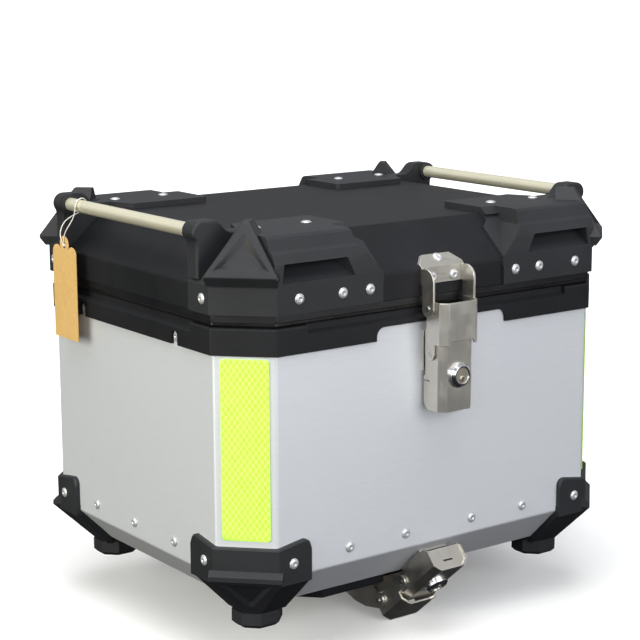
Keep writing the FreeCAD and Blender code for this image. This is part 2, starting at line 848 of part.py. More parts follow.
def make_corner_bracket():
    """One bottom corner guard with its foot, for the +X +Y corner."""
    thick = float(size("bracket_thick"))
    wing_x = float(size("wing_x"))
    wing_y = float(size("wing_y"))
    bend = float(size("bend_level"))
    foot_x = float(size("foot_x"))
    foot_y = float(size("foot_y"))
    plan = [float(value) for value in body_octagon(thick)]
    # The lower part tapers from a band at the bend to the foot.
    upper = [
        (wing_x, plan[1]), (plan[0] - plan[2], plan[1]), (plan[0], plan[1] - plan[2]),
        (plan[0], wing_y), (plan[0] - 30, wing_y - 4), (wing_x - 4, plan[1] - 30),
    ]
    half_long = float(size("foot_long")) / 2 - 3
    half_wide = float(size("foot_wide")) / 2 - 3
    leg = float(size("foot_leg"))
    lower = [
        (foot_x - half_long, foot_y + half_wide),
        (foot_x + half_long - leg, foot_y + half_wide),
        (foot_x + half_long, foot_y + half_wide - leg),
        (foot_x + half_long, foot_y - half_wide),
        (foot_x + half_long - 5, foot_y - half_wide),
        (foot_x - half_long, foot_y + half_wide - 5),
    ]
    taper = ruled_solid(level_points(lower, KEEL_TIP_LEVEL), level_points(upper, bend - 3.0))
    band = prism("z", bend - 3.0, bend + 5.0, upper)
    face_out = (plan[0] + plan[1] - plan[2]) / math.sqrt(2.0)
    moulding = fuse_all([bracket_wings(plan), taper, band, bracket_keel(face_out), bracket_foot()])
    holes = [rivet_hole(*spot) for spot in wing_spots if spot[0][0] > 0 and spot[0][1] > 0]
    moulding = moulding.cut(case_solid()).cut(Part.makeCompound(holes))
    return solid_feature("corner_bracket_rear_right", moulding.removeSplitter())


def make_reflector(label, sign_x, sign_y):
    """A reflective strip stuck on one cut corner of the case."""
    body = new_body(label)
    half = size("reflector_wide") / 2
    low = size("reflector_low")
    high = size("reflector_high")
    pad(body, "XZ_Plane", -size("reflector_thick"), 0,
        [(-half, low), (half, low), (half, high), (-half, high)])
    doc.recompute()
    round_edges(body, 3.0, lambda edge: abs(edge_direction(edge).y) > 0.999)
    middle_x = float(HALF_WIDTH) - float(CORNER_LEG) / 2
    middle_y = float(HALF_DEPTH) - float(CORNER_LEG) / 2
    spin = math.degrees(math.atan2(sign_x, -sign_y))
    body.Placement = Placement(Vector(sign_x * middle_x, sign_y * middle_y, 0),
                               Rotation(Vector(0, 0, 1), spin))
    return body


# ---------------------------------------------------------------------------
# Hinges at the back
# ---------------------------------------------------------------------------
KNUCKLES = 5
KNUCKLE_GAP = 0.15
HINGE_RIVET_X = 14.0
HINGE_LOW_LEVEL = 258.0
HINGE_HIGH_LEVEL = 295.0
collar_y = float(HALF_DEPTH + size("collar_proud"))
skirt_y = float(HALF_DEPTH + LID_PROUD)
hinge_leaf = float(size("hinge_sheet"))
collar_hinge_spots = []
skirt_hinge_spots = []
for hinge_side in (-1, 1):
    for rivet_side in (-1, 1):
        hinge_rivet_x = hinge_side * float(size("hinge_x")) + rivet_side * HINGE_RIVET_X
        collar_hinge_spots.append(
            ((hinge_rivet_x, collar_y + hinge_leaf, HINGE_LOW_LEVEL), (0, 1, 0), 14.0))
        skirt_hinge_spots.append(
            ((hinge_rivet_x, skirt_y + hinge_leaf, HINGE_HIGH_LEVEL), (0, 1, 0), 6.0))


def knuckle_span(index):
    """Where one knuckle begins and ends across a hinge, from its middle."""
    step = size("hinge_wide") / KNUCKLES
    low = step * index - size("hinge_wide") / 2 + KNUCKLE_GAP
    return low, low + step - 2 * KNUCKLE_GAP


def make_hinge_leaf(label, side, on_lid):
    """One leaf: a plate on the lid or the collar, with fingers rolled round the pin."""
    body = new_body(label)
    leaf = size("hinge_sheet")
    axis_y = size("hinge_y")
    axis_z = size("hinge_z")
    outer = size("hinge_bore") + 1.9
    half = size("hinge_wide") / 2
    if on_lid:
        face = HALF_DEPTH + LID_PROUD
        plate = (size("lid_low") + 2.2, 303.0)
        reach = (axis_z, size("lid_low") + 2.2)
        spots = skirt_hinge_spots
        bore = size("hinge_bore")
    else:
        face = HALF_DEPTH + size("collar_proud")
        plate = (251.5, size("collar_high") - 2)
        reach = (size("collar_high") - 2, axis_z)
        spots = collar_hinge_spots
        bore = size("hinge_pin")
    pad(body, "XZ_Plane", face, face + leaf,
        [(-half, plate[0]), (half, plate[0]), (half, plate[1]), (-half, plate[1])])
    for index in range(KNUCKLES):
        if (index % 2 == 1) != on_lid:
            continue
        low, high = knuckle_span(index)
        pad(body, "YZ_Plane", low, high, rectangle(face, face + leaf, *reach))
        pad(body, "YZ_Plane", low, high, (axis_y, axis_z, outer))
    circles = [(x - side * float(size("hinge_x")), z, size("rivet_shank"))
               for (x, _, z), _, _ in spots if x * side > 0]
    pocket(body, "XZ_Plane", face - 1, face + leaf + 1, *circles)
    pocket(body, "YZ_Plane", -half - 1, half + 1, (axis_y, axis_z, bore))
    body.Placement = Placement(Vector(side * float(size("hinge_x")), 0, 0), Rotation())
    return body


def make_pin(label, spot, radius, length):
    """A plain pin along X, centred on spot."""
    pin = doc.addObject("Part::Cylinder", label)
    pin.Label = label
    bind(pin, "Radius", radius)
    bind(pin, "Height", length)
    start = Vector(*[float(value) for value in spot]) - Vector(float(length) / 2, 0, 0)
    pin.Placement = Placement(start, Rotation(Vector(0, 1, 0), 90))
    return pin


# ---------------------------------------------------------------------------
# The lid
# ---------------------------------------------------------------------------
GUARD_ROW_X = (83.0, 112.0, 157.0)
GUARD_ROW_Y = 128.0
GUARD_ROW_LEVEL = 295.4
FLANGE_RIVETS = ((106.0, 118.0), (159.0, 118.0))
GUARD_GRIP = 6.5
guard_skin = float(size("guard_skin"))
skirt_x = float(HALF_WIDTH + LID_PROUD)

guard_spots = []
flange_spots = []
for guard_x in (-1, 1):
    for guard_y in (-1, 1):
        for x in GUARD_ROW_X:
            guard_spots.append(((guard_x * x, guard_y * (skirt_y + guard_skin), GUARD_ROW_LEVEL),
                                (0, guard_y, 0), GUARD_GRIP))
        guard_spots.append(((guard_x * (skirt_x + guard_skin), guard_y * GUARD_ROW_Y,
                             GUARD_ROW_LEVEL), (guard_x, 0, 0), GUARD_GRIP))
        for x, y in FLANGE_RIVETS:
            flange_spots.append(((guard_x * x, guard_y * y, float(size("flange_high"))),
                                 (0, 0, 1), 8.0))

BRACKET_RIVETS = ((-12.0, 298.2), (12.0, 298.2))
LATCH_PLATE = 2.0
latch_x = float(size("latch_x"))
latch_spots = [((latch_x + x, -skirt_y - LATCH_PLATE, z), (0, -1, 0), 6.0)
               for x, z in BRACKET_RIVETS]
SLOPE_DIRECTION = (0.0, -SLOPE_OUT, SLOPE_UP)
SLOPE_RUN = 9.0
slope_spot = (latch_x,
              -skirt_y + SLOPE_RUN * float(LID_INSET) / SLOPE_LENGTH - LATCH_PLATE * SLOPE_OUT,
              float(size("skirt_high")) + SLOPE_RUN * SLOPE_RISE / SLOPE_LENGTH
              + LATCH_PLATE * SLOPE_UP)
slope_spots = [(slope_spot, SLOPE_DIRECTION, 6.0)]


def lid_octagon(offset):
    """The lid skirt's plan, moved outward by offset."""
    return body_octagon(LID_PROUD + offset)


def lid_top_octagon(offset):
    """The flat top's plan for the lid's outer form moved outward by offset."""
    return body_octagon(LID_PROUD - LID_INSET + offset * TOP_SHIFT)


def make_lid_shell():
    """The pressed sheet lid: skirt, four slopes with cut corners, flat top."""
    body = new_body("lid_shell")
    low = size("lid_low")
    bend = size("skirt_high")
    high = size("lid_high")
    sheet_thick = size("lid_sheet")
    pad(body, "XY_Plane", low, bend, octagon(*lid_octagon(0.0)))
    loft(body, "AdditiveLoft", (*lid_octagon(0.0), bend), (*lid_top_octagon(0.0), high))
    bend_number = float(bend)
    high_number = float(high)
    round_edges(body, size("corner_round"), is_upright)
    round_edges(body, 5.0, lambda edge: abs(edge_middle(edge).z - bend_number) < 0.6
                and not is_upright(edge))
    round_edges(body, 5.0, lambda edge: abs(edge_middle(edge).z - high_number) < 0.01)
    inner_bend = bend - sheet_thick * BEND_SHIFT
    pocket(body, "XY_Plane", low - 1, inner_bend, octagon(*lid_octagon(-sheet_thick)))
    pocket_loft(body, lid_octagon(-sheet_thick), inner_bend,
                lid_top_octagon(-sheet_thick), high - sheet_thick)
    hole_pockets(body, guard_spots + skirt_hinge_spots + latch_spots)
    circles = [(x, y, size("rivet_shank")) for (x, y, _), _, _ in flange_spots]
    pocket(body, "XY_Plane", high - 5, high + 5, *circles)
    for spot, outward, grip in slope_spots:
        drill(body, spot, outward, grip)
    return body


def make_lid_rim():
    """The moulded inner frame that stiffens the skirt and carries the seal."""
    body = new_body("lid_rim")
    low = size("seal_high")
    lid_low = size("lid_low")
    high = size("rim_high")
    inside = lid_octagon(-size("lid_sheet"))
    pad(body, "XY_Plane", low, lid_low - 0.4, octagon(*lid_octagon(-1.0)),
        octagon(*lid_octagon(-11.0)))
    pad(body, "XY_Plane", lid_low - 0.4, high, octagon(*inside), octagon(*lid_octagon(-5.0)))
    hole_pockets(body, guard_spots + skirt_hinge_spots + latch_spots)
    return body


SEAL_INSET = 1.6
SEAL_WIDE = 7.4


def make_lid_seal():
    """The rubber ring that closes on the collar."""
    body = new_body("lid_seal")
    low = size("collar_high") + size("seal_gap")
    rim = lid_octagon(-SEAL_INSET)
    pad(body, "XY_Plane", low, size("seal_high"), octagon(*rim),
        octagon(*lid_octagon(-SEAL_INSET - SEAL_WIDE)))
    low_number = float(low)
    outer_x, outer_y, leg = [float(value) for value in rim]
    across = (outer_x + outer_y - leg) / math.sqrt(2.0)

    def is_outer_low(edge):
        spot = edge_middle(edge)
        reach = max(abs(spot.y) - outer_y, abs(spot.x) - outer_x,
                    (abs(spot.x) + abs(spot.y)) / math.sqrt(2.0) - across)
        return abs(spot.z - low_number) < 0.01 and abs(reach) < 0.01

    round_edges(body, 1.8, is_outer_low)
    return body


POST_LOW = 311.0
POST_RIM = 2.2
NECK_INSET = 3.4
NECK_DROP = 14.0
NECK_ANGLE = math.radians(-40.0)
BOSS_RADIUS = 9.0
BOSS_REACH = 3.2


def post_solid():
    """The fin on a guard that holds one end of a handle bar."""
    bar_x = float(size("bar_x"))
    bar_z = float(size("bar_z"))
    ring = float(size("post_ring"))
    low = float(size("guard_side_y"))
    high = low + float(size("post_thick"))
    flange = float(size("flange_high"))
    side_x = bar_x + ring
    crest = bar_z + ring
    crest_x = 204.0
    crest_run = 20.0
    middle_x = crest_x - crest_run / 2

    def place(x, z):
        return Vector(x, high, z)

    # The crest falls in an S from the ring to the guard's flat top.
    head = [place(bar_x + ring * math.sin(angle), bar_z + ring * math.cos(angle))
            for angle in (math.pi / 4, math.pi / 8, 0.0)]
    fall = Part.BezierCurve()
    fall.setPoles([place(crest_x, crest), place(middle_x, crest), place(middle_x, flange),
                   place(crest_x - crest_run, flange)])
    # Below the ring the outer side draws in to a narrower neck.
    neck_x = side_x - NECK_INSET
    neck_top = bar_z - NECK_DROP
    shoulder = place(bar_x + ring * math.cos(NECK_ANGLE), bar_z + ring * math.sin(NECK_ANGLE))
    neck = Part.BezierCurve()
    neck.setPoles([place(neck_x, neck_top), place(neck_x, bar_z - NECK_DROP * 0.7), shoulder])
    side = Part.Arc(shoulder, place(side_x, bar_z), head[0])
    corners = [place(crest_x - crest_run, flange), place(172.0, flange), place(165.0, 344.0),
               place(190.0, 312.0), place(neck_x, POST_LOW), place(neck_x, neck_top)]
    edges = [neck.toShape(), side.toShape(), Part.Arc(*head).toShape(),
             Part.makeLine(place(bar_x, crest), place(crest_x, crest)), fall.toShape()]
    edges += [Part.makeLine(a, b) for a, b in zip(corners, corners[1:])]
    fin = Part.Face(Part.Wire(edges)).extrude(Vector(0, low - high, 0))

    def is_outer_rim(edge):
        spot = edge_middle(edge)
        return spot.y > high - 0.01 and (spot.x > neck_x - 0.01 or spot.z > flange + 0.5)

    fin = fin.makeFillet(POST_RIM, [edge for edge in fin.Edges if is_outer_rim(edge)])
    boss = Part.makeCylinder(BOSS_RADIUS, BOSS_REACH + 1, Vector(bar_x, low - BOSS_REACH, bar_z),
                             Vector(0, 1, 0))
    bore = Part.makeCylinder(float(size("bar_radius")) + 0.05,
                             float(size("bar_half")) - low + BOSS_REACH + 0.5,
                             Vector(bar_x, low - BOSS_REACH - 0.2, bar_z), Vector(0, 1, 0))
    return fin.fuse(boss).cut(bore)


def bumper_solid():
    """The three-sided buffer that leans back on a guard's cut corner."""
    reach = float(size("bumper_reach"))
    low = float(size("bumper_low"))
    high = float(size("bumper_high"))
    half = float(size("bumper_half"))
    drop = float(size("chin_drop"))
    lean = 27.5
    lip = 6.0
    tip = 3.0
    back = reach - 45.0
    front = [corner_spot(-half, reach, low), corner_spot(half, reach, low),
             corner_spot(tip, reach - lean, high), corner_spot(-tip, reach - lean, high)]
    rear = [corner_spot(-half, back, low), corner_spot(half, back, low),
            corner_spot(tip, back, high), corner_spot(-tip, back, high)]
    chin_low = low - drop
    chin_front = [corner_spot(-half, reach, low), corner_spot(half, reach, low),
                  corner_spot(half - 2.0, reach - lip, chin_low),
                  corner_spot(2.0 - half, reach - lip, chin_low)]
    chin_rear = [corner_spot(-half, back, low), corner_spot(half, back, low),
                 corner_spot(half - 2.0, back, chin_low), corner_spot(2.0 - half, back, chin_low)]
    wedge = ruled_solid(front, rear).fuse(ruled_solid(chin_front, chin_rear)).removeSplitter()
    slope = lean / (high - low)

    def on_face(along, level, sink):
        return corner_spot(along, reach - (level - low) * slope - sink, level)

    def is_rim(edge):
        spot = edge_middle(edge)
        out = (spot.x + spot.y) / math.sqrt(2.0)
        return spot.z > low - 0.1 and out > reach - (spot.z - low) * slope - 0.1

    wedge = wedge.makeFillet(2.0, [edge for edge in wedge.Edges if is_rim(edge)])
    # A three-sided recess with sloping walls in the leaning face.
    mouth = [on_face(7.0 - half, low + 4.5, -0.5), on_face(half - 7.0, low + 4.5, -0.5),
             on_face(1.4, high - 8.5, -0.5), on_face(-1.4, high - 8.5, -0.5)]
    floor = [on_face(14.0 - half, low + 7.5, 4.0), on_face(half - 14.0, low + 7.5, 4.0),
             on_face(0.6, high - 18.0, 4.0), on_face(-0.6, high - 18.0, 4.0)]
    return wedge.cut(ruled_solid(mouth, floor))


def guard_block():
    """The raised block along the latch side of a guard, with its strap slot."""
    face = skirt_y + guard_skin
    right = 181.0
    profile = [(face, 300.0), (face, 308.5), (face - 0.6, 325.3), (face - 3.9, 333.4),
               (face - 7.6, 335.8), (face - 8.6, 338.0), (face - 12.0, 345.4),
               (face - 15.0, 347.2), (face - 19.0, 347.6), (face - 50.0, 347.6),
               (face - 50.0, 338.0), (face - 20.0, 300.0)]
    block = prism("x", 60.0, right, profile)
    # The end towards the middle of the lid slants; the lip has small steps.
    slant = prism("y", 90, 200, [(50, 290), (66.5, 290), (69.0, 308.8), (92.5, 334.5),
                                 (94.5, 347.0), (94.5, 360), (50, 360)])
    block = block.cut(slant)
    slot = [(97.0, 308.5), (174.0, 308.5), (171.5, 325.4), (105.5, 325.4)]
    mouth = [Vector(x, face + 2.0, z) for x, z in slot]
    throat = [Vector(x, face - 26.0, z) for x, z in
              [(116.0, 316.0), (174.0, 316.0), (171.5, 325.4), (116.0, 325.4)]]
    hollow = ruled_solid(mouth, throat)
    return block, hollow


def make_lid_guard():
    """One corner guard of the lid with its bar post and bumper, for +X +Y."""
    front_x = float(size("guard_front_x"))
    side_y = float(size("guard_side_y"))
    flange_x = float(size("flange_x"))
    flange_y = float(size("flange_y"))
    flange_high = float(size("flange_high"))
    lid = lid_solid(float(size("guard_gap")))
    region = [(front_x, 230), (front_x, 150), (flange_x, 144), (flange_x, flange_y + 3),
              (flange_x + 3, flange_y), (160, flange_y), (172, side_y), (240, side_y), (240, 230)]
    skin = lid_solid(guard_skin).common(prism("z", 270, 360, region))
    flange = prism("z", float(size("lid_high")) - 1, flange_high, [
        (flange_x, 146.0), (flange_x, flange_y + 3), (flange_x + 3, flange_y), (160, flange_y),
        (172, side_y), (176.0, side_y), (181.0, 124.0), (181.0, 160.0), (94.5, 160.0)])
    flange = flange.common(lid_solid(flange_high - float(size("lid_high"))))
    block, hollow = guard_block()
    # The corner between the block and the post is filled under the bumper.
    fill = ruled_solid(
        level_points([(175.0, 112.0), (222.0, 112.0), (222.0, 137.5), (179.3, 178.5),
                      (175.0, 178.5)], 300.0),
        level_points([(175.0, 112.0), (182.0, 112.0), (184.0, 130.0), (179.0, 150.0),
                      (175.0, 158.0)], 347.0))
    outer = fuse_all([skin, flange, block, fill, bumper_solid(), post_solid()])
    # Nothing may reach past the guard's own skin below the bumper.
    split = 306.0
    skirt_wall = prism("z", 270, split, octagon(*[float(v) for v in lid_octagon(guard_skin)]))
    below = outer.common(prism("z", 270, split, rectangle(0, 300, 0, 300))).common(skirt_wall)
    above = outer.common(prism("z", split, 400, rectangle(0, 300, 0, 300)))
    outer = below.fuse(above)
    inner = lid.fuse(prism("z", 270, 283, rectangle(0, 300, 0, 300)))
    spots = [spot for spot in guard_spots + flange_spots if spot[0][0] > 0 and spot[0][1] > 0]
    holes = Part.makeCompound([rivet_hole(*spot) for spot in spots])
    outer = outer.cut(hollow.cut(lid_solid(guard_skin))).cut(inner).cut(holes)
    bore = Part.makeCylinder(float(size("bar_radius")) + 0.05,
                             float(size("bar_half")) - side_y + BOSS_REACH + 0.5,
                             Vector(float(size("bar_x")), side_y - BOSS_REACH - 0.2,
                                    float(size("bar_z"))), Vector(0, 1, 0))
    return solid_feature("lid_guard_rear_right", outer.cut(bore).removeSplitter())


def make_handle_bar(label, side):
    """An anodised tube between the front and rear posts."""
    outer = doc.addObject("Part::Cylinder", f"{label}_outside")
    bind(outer, "Radius", size("bar_radius"))
    bind(outer, "Height", size("bar_half") * 2)
    inner = doc.addObject("Part::Cylinder", f"{label}_inside")
    bind(inner, "Radius", size("bar_bore"))
    bind(inner, "Height", size("bar_half") * 2)
    tube = doc.addObject("Part::Cut", label)
    tube.Label = label
    tube.Base = outer
    tube.Tool = inner
    start = Vector(side * float(size("bar_x")), float(size("bar_half")), float(size("bar_z")))
    tube.Placement = Placement(start, Rotation(Vector(1, 0, 0), 90))
    return tube


# ---------------------------------------------------------------------------
# The two over-centre latches. Their parts are drawn in one latch frame: the
# face that they close on is y = 0, outward is -Y, and the lever's tip is at -Z
# below the ear pin, which is at z = 0.
# ---------------------------------------------------------------------------
PIN_Y = -size("pin_depth")
LINK = size("link_long")
LOCK_Z = -size("lock_level")


def lid_latch_place():
    return Placement(Vector(latch_x, -half_y, float(size("ear_pin_z"))), Rotation())


def base_latch_place():
    """Turned to lie along the bevel, with the lever's tip up and outward."""
    tilt = float(size("base_tilt"))
    origin = Vector(0, *base_point(0.0, 0.0))
    turn = Rotation(Vector(1, 0, 0), -90 - tilt) * Rotation(Vector(0, 0, 1), 180)
    return Placement(origin, turn)


def base_point(depth, along):
    """The case's (y, z) for a place in the base latch frame: out from its face, up its run."""
    angle = math.radians(float(size("base_tilt")))
    out = depth - float(size("pin_depth"))
    return (float(size("base_ear_y")) - out * math.sin(angle) - along * math.cos(angle),
            float(size("base_ear_z")) - out * math.cos(angle) + along * math.sin(angle))


FOLD_LEG = 6.0
FOLD_SHRINK = 0.3
CHANNEL_BACK = 5.0


def channel_hollow(half, front, thick):
    """Plan corners of the space inside a folded channel, open towards the case."""
    half = half - thick
    front = front - thick
    leg = FOLD_LEG - thick * FOLD_SHRINK
    return [(-half, CHANNEL_BACK), (half, CHANNEL_BACK), (half, leg - front), (half - leg, -front),
            (leg - half, -front), (-half, leg - front)]


def cut_channel(body, half, front, thick, low, high):
    """Hollow a latch's folded channel and bevel its two front corners."""
    pocket(body, "XY_Plane", low, high, channel_hollow(half, front, thick))
    past = 3.0
    for sign in (-1, 1):
        corner = [(sign * half, FOLD_LEG - front), (sign * (half + past), FOLD_LEG - front),
                  (sign * (half + past), -front - past), (sign * (half - FOLD_LEG), -front - past),
                  (sign * (half - FOLD_LEG), -front)]
        pocket(body, "XY_Plane", low, high, corner)


def make_hood(label, place):
    """The link between bracket and lever: a hood in front and two arms."""
    body = new_body(label)
    half = size("hood_half")
    thick = size("hood_sheet")
    front = size("hood_front")
    arm = 6.0
    crown = 6.5
    chin = -31.0
    side = [(-8.5, crown), (-8.5, -17.0), (-7.0, -21.0), (PIN_Y + arm, -LINK),
            (PIN_Y - arm, -LINK), (PIN_Y - arm, chin), (-front, chin), (-front, crown)]
    pad(body, "YZ_Plane", -half, half, side)
    pad(body, "YZ_Plane", -half, half, (PIN_Y, -LINK, arm))
    cut_channel(body, half, front, thick, -50, 10)
    step = [(-15.5, -33.0), (-11.5, -27.4), (11.5, -27.4), (15.5, -33.0)]
    pocket(body, "XZ_Plane", -front - 2, -front + thick + 0.5, step)
    bore = size("latch_bore")
    pocket(body, "YZ_Plane", -half - 1, half + 1, (PIN_Y, 0, bore), (PIN_Y, -LINK, bore))
    body.Placement = place
    return body


def make_lever(label, place):
    """The folded lever: a channel with bevelled front corners and the lock's hole."""
    body = new_body(label)
    half = size("lever_half")
    thick = size("lever_sheet")
    front = size("lever_front")
    tip = -size("lever_tip")
    side = [(-front, -25.5), (-front, tip), (-8.0, tip), (-3.0, tip + 5), (-3.0, -62.0),
            (-5.0, -60.0), (-5.0, -43.0), (-8.2, -34.5), (-13.0, -31.8), (-20.0, -30.5),
            (-front + thick + 0.4, -25.5)]
    pad(body, "YZ_Plane", -half, half, side)
    cut_channel(body, half, front, thick, tip - 5, -20)
    # A thin slit in each side ends in a small round hole.
    slit_y = -9.8
    slit_z = -65.0
    pocket(body, "YZ_Plane", -half - 1, half + 1, (PIN_Y, -LINK, size("latch_bore")),
           (slit_y, slit_z, 0.9))
    pocket(body, "YZ_Plane", -half - 1, half + 1,
           rectangle(slit_y + 0.8, -1.0, slit_z - 0.5, slit_z + 0.5))
    pocket(body, "XZ_Plane", -front - 1, -front + thick + 1, (0.0, LOCK_Z, size("lock_barrel")))
    body.Placement = place
    return body


def make_lever_cap(label, place):
    """The slotted plate that closes the lever's tip."""
    body = new_body(label)
    thick = 1.5
    back = -6.2
    low = -size("lever_tip") + thick
    hollow = channel_hollow(size("lever_half"), size("lever_front"), size("lever_sheet"))
    outline = [(hollow[0][0], back), (hollow[1][0], back)] + hollow[2:]
    pad(body, "XY_Plane", low, low + thick, outline)
    pocket(body, "XY_Plane", low - 1, low + thick + 1, rectangle(-5.5, 5.5, -19.2, -17.6))
    body.Placement = place
    return body


def make_lock_housing(label, place):
    """The fixed barrel of the lock with its polished, bevelled ring."""
    body = new_body(label)
    front = size("lever_front")
    rise = size("lock_rise")
    pad(body, "XZ_Plane", -front - rise, -front, (0.0, LOCK_Z, size("lock_ring")))
    pad(body, "XZ_Plane", -front, -12.0, (0.0, LOCK_Z, size("lock_barrel")))
    outer = float(front + rise)
    cut_edges(body, size("lock_bevel"), lambda edge: abs(edge_middle(edge).y + outer) < 0.01)
    pocket(body, "XZ_Plane", -front - 9, -5, (0.0, LOCK_Z, size("plug_bore")))
    body.Placement = place
    return body


KEYHOLE_DROP = 2.6
KEYHOLE_RADIUS = 2.5
KEYHOLE_RISE = 0.9


def make_lock_plug(label, place):
    """The turning core: a face with a raised keyhole, and the cam behind the barrel."""
    body = new_body(label)
    face = -size("lever_front") - size("lock_rise") + 0.8
    keyhole_z = LOCK_Z - KEYHOLE_DROP
    pad(body, "XZ_Plane", face, -9.0, (0.0, LOCK_Z, size("plug_radius")))
    pad(body, "XZ_Plane", face - KEYHOLE_RISE, face, (0.0, keyhole_z, KEYHOLE_RADIUS))
    top = float(face - KEYHOLE_RISE)
    round_edges(body, KEYHOLE_RISE - 0.1, lambda edge: abs(edge_middle(edge).y - top) < 0.01)
    pad(body, "XZ_Plane", -11.6, -9.6, rectangle(0.0, 13.4, LOCK_Z - 3.4, LOCK_Z + 3.4))
    pocket(body, "XZ_Plane", face - 2, face + 7,
           rectangle(-0.4, 0.4, keyhole_z - 1.7, keyhole_z + 1.7))
    body.Placement = place
    return body


RIVET_FLANGE = 3.8
RIVET_FLANGE_THICK = 1.2


def make_arm_rivets(label, place):
    """Two short shouldered rivets, one through each arm of the hood and the lever's side."""
    inner = float(size("lever_half") - size("lever_sheet")) - 0.1
    outer = float(size("hood_half")) + 0.3
    rivets = []
    for sign in (-1, 1):
        start = Vector(sign * inner, float(PIN_Y), -float(LINK))
        outward = Vector(sign, 0, 0)
        shank = Part.makeCylinder(float(size("latch_pin")), outer - inner, start, outward)
        flange = Part.makeCylinder(RIVET_FLANGE, RIVET_FLANGE_THICK, start, -outward)
        rivets.append(shank.fuse(flange).removeSplitter())
    feature = solid_feature(label, Part.makeCompound(rivets))
    feature.Placement = place
    return feature


LIP_NEAR = 42.8
LIP_FAR = 49.0
LIP_SHEET = 1.6
LIP_TOP = 13.6
LIP_HALF = 8.0


def make_lid_keeper():
    """The plate under the lid latch with the hooked lip that the lock's cam turns under."""
    body = new_body("lid_latch_keeper")
    high = -21.6
    low = -57.0
    pad(body, "XZ_Plane", -KEEPER_SHEET, 0, rectangle(-19.5, 19.5, low, high))
    lip = [(-KEEPER_SHEET, -LIP_NEAR), (-LIP_TOP, -LIP_NEAR), (-LIP_TOP, -LIP_FAR),
           (LIP_SHEET - LIP_TOP, -LIP_FAR), (LIP_SHEET - LIP_TOP, -LIP_NEAR - LIP_SHEET),
           (-KEEPER_SHEET, -LIP_NEAR - LIP_SHEET)]
    pad(body, "YZ_Plane", -LIP_HALF, LIP_HALF, lip)
    pocket(body, "XZ_Plane", -KEEPER_SHEET - 1, 1,
           (-KEEPER_RIVET_X, -KEEPER_RIVET_DROP, size("rivet_shank")),
           (KEEPER_RIVET_X, -KEEPER_RIVET_DROP, size("rivet_shank")))
    body.Placement = lid_latch_place()
    return body


def make_base_keeper():
    """The same on the front bevel, for the latch that holds the case on its base plate."""
    body = new_body("base_latch_keeper")
    low, high = BASE_KEEPER_RUN
    top = KEEPER_SHEET + BASE_KEEPER_GAP
    pad(body, "YZ_Plane", -16.0, 16.0, [on_bevel(low, BASE_KEEPER_GAP), on_bevel(low, top),
                                        on_bevel(high, top), on_bevel(high, BASE_KEEPER_GAP)])
    lip = [on_bevel(low + 0.2, 1.0), base_point(LIP_TOP, LIP_NEAR), base_point(LIP_TOP, LIP_FAR),
           base_point(LIP_TOP - LIP_SHEET, LIP_FAR),
           base_point(LIP_TOP - LIP_SHEET, LIP_NEAR + LIP_SHEET), on_bevel(low + 2.2, 1.0)]
    pad(body, "YZ_Plane", -LIP_HALF, LIP_HALF, lip)
    for spot, outward, grip in base_keeper_spots:
        drill(body, spot, outward, grip)
    return body


def make_lid_latch_bracket():
    """The folded bracket riveted to the lid, with two ears for the ear pin."""
    body = new_body("lid_latch_bracket")
    ear = size("ear_inside") + size("ear_sheet")
    skirt = -LID_PROUD
    face = -LID_PROUD - LATCH_PLATE
    low = 20.3
    bend = size("skirt_high") - size("ear_pin_z")
    run = 14.0
    rise = run * SLOPE_RISE / SLOPE_LENGTH
    inward = run * float(LID_INSET) / SLOPE_LENGTH
    outer_bend = bend + LATCH_PLATE * BEND_SHIFT
    plates = [(skirt, low), (face, low), (face, outer_bend),
              (face + inward + 0.35, outer_bend + rise + 0.3), (skirt + inward, bend + rise),
              (skirt, bend)]
    pad(body, "YZ_Plane", -ear, ear, plates)
    for sign in (-1, 1):
        corner = [(sign * ear, 37.5), (sign * (ear + 2), 37.5), (sign * (ear + 2), 60),
                  (sign * 13.0, 60), (sign * 13.0, 46.0)]
        pocket(body, "XZ_Plane", -12, 20, corner)
    ears = [(face + 0.5, low + 1.5), (-5.5, 12.0), (-5.5, 0.0), (PIN_Y - 7.5, 0.0),
            (PIN_Y - 7.5, 24.0), (-19.4, 28.6), (-16.6, 32.2), (-12.8, 34.2), (-9.0, 34.8),
            (face + 0.5, bend)]
    for low_x, high_x in ((-ear, -size("ear_inside")), (size("ear_inside"), ear)):
        pad(body, "YZ_Plane", low_x, high_x, ears)
        pad(body, "YZ_Plane", low_x, high_x, (PIN_Y, 0.0, 7.5))
    pocket(body, "YZ_Plane", -ear - 1, ear + 1, (PIN_Y, 0.0, size("latch_pin")))
    circles = [(x, z - float(size("ear_pin_z")), size("rivet_shank"))
               for x, z in BRACKET_RIVETS]
    pocket(body, "XZ_Plane", -15, 10, *circles)
    for (_, y, z), outward, grip in slope_spots:
        drill(body, (0.0, y + half_y, z - float(size("ear_pin_z"))), outward, grip)
    body.Placement = lid_latch_place()
    return body


SCREW_SPOTS = ((-12.0, -66.0), (12.0, -66.0), (-12.0, -92.0), (12.0, -92.0))
SCREW_RADIUS = 2.5
SCREW_HEAD = 4.75
SCREW_HEAD_HIGH = 2.6
SCREW_HEAD_ROUND = 1.4
SCREW_SOCKET = 1.6
SCREW_LONG = 11.0


def screw_holes(body, low, high):
    pocket(body, "XY_Plane", low, high, *[(x, y, SCREW_RADIUS) for x, y in SCREW_SPOTS])


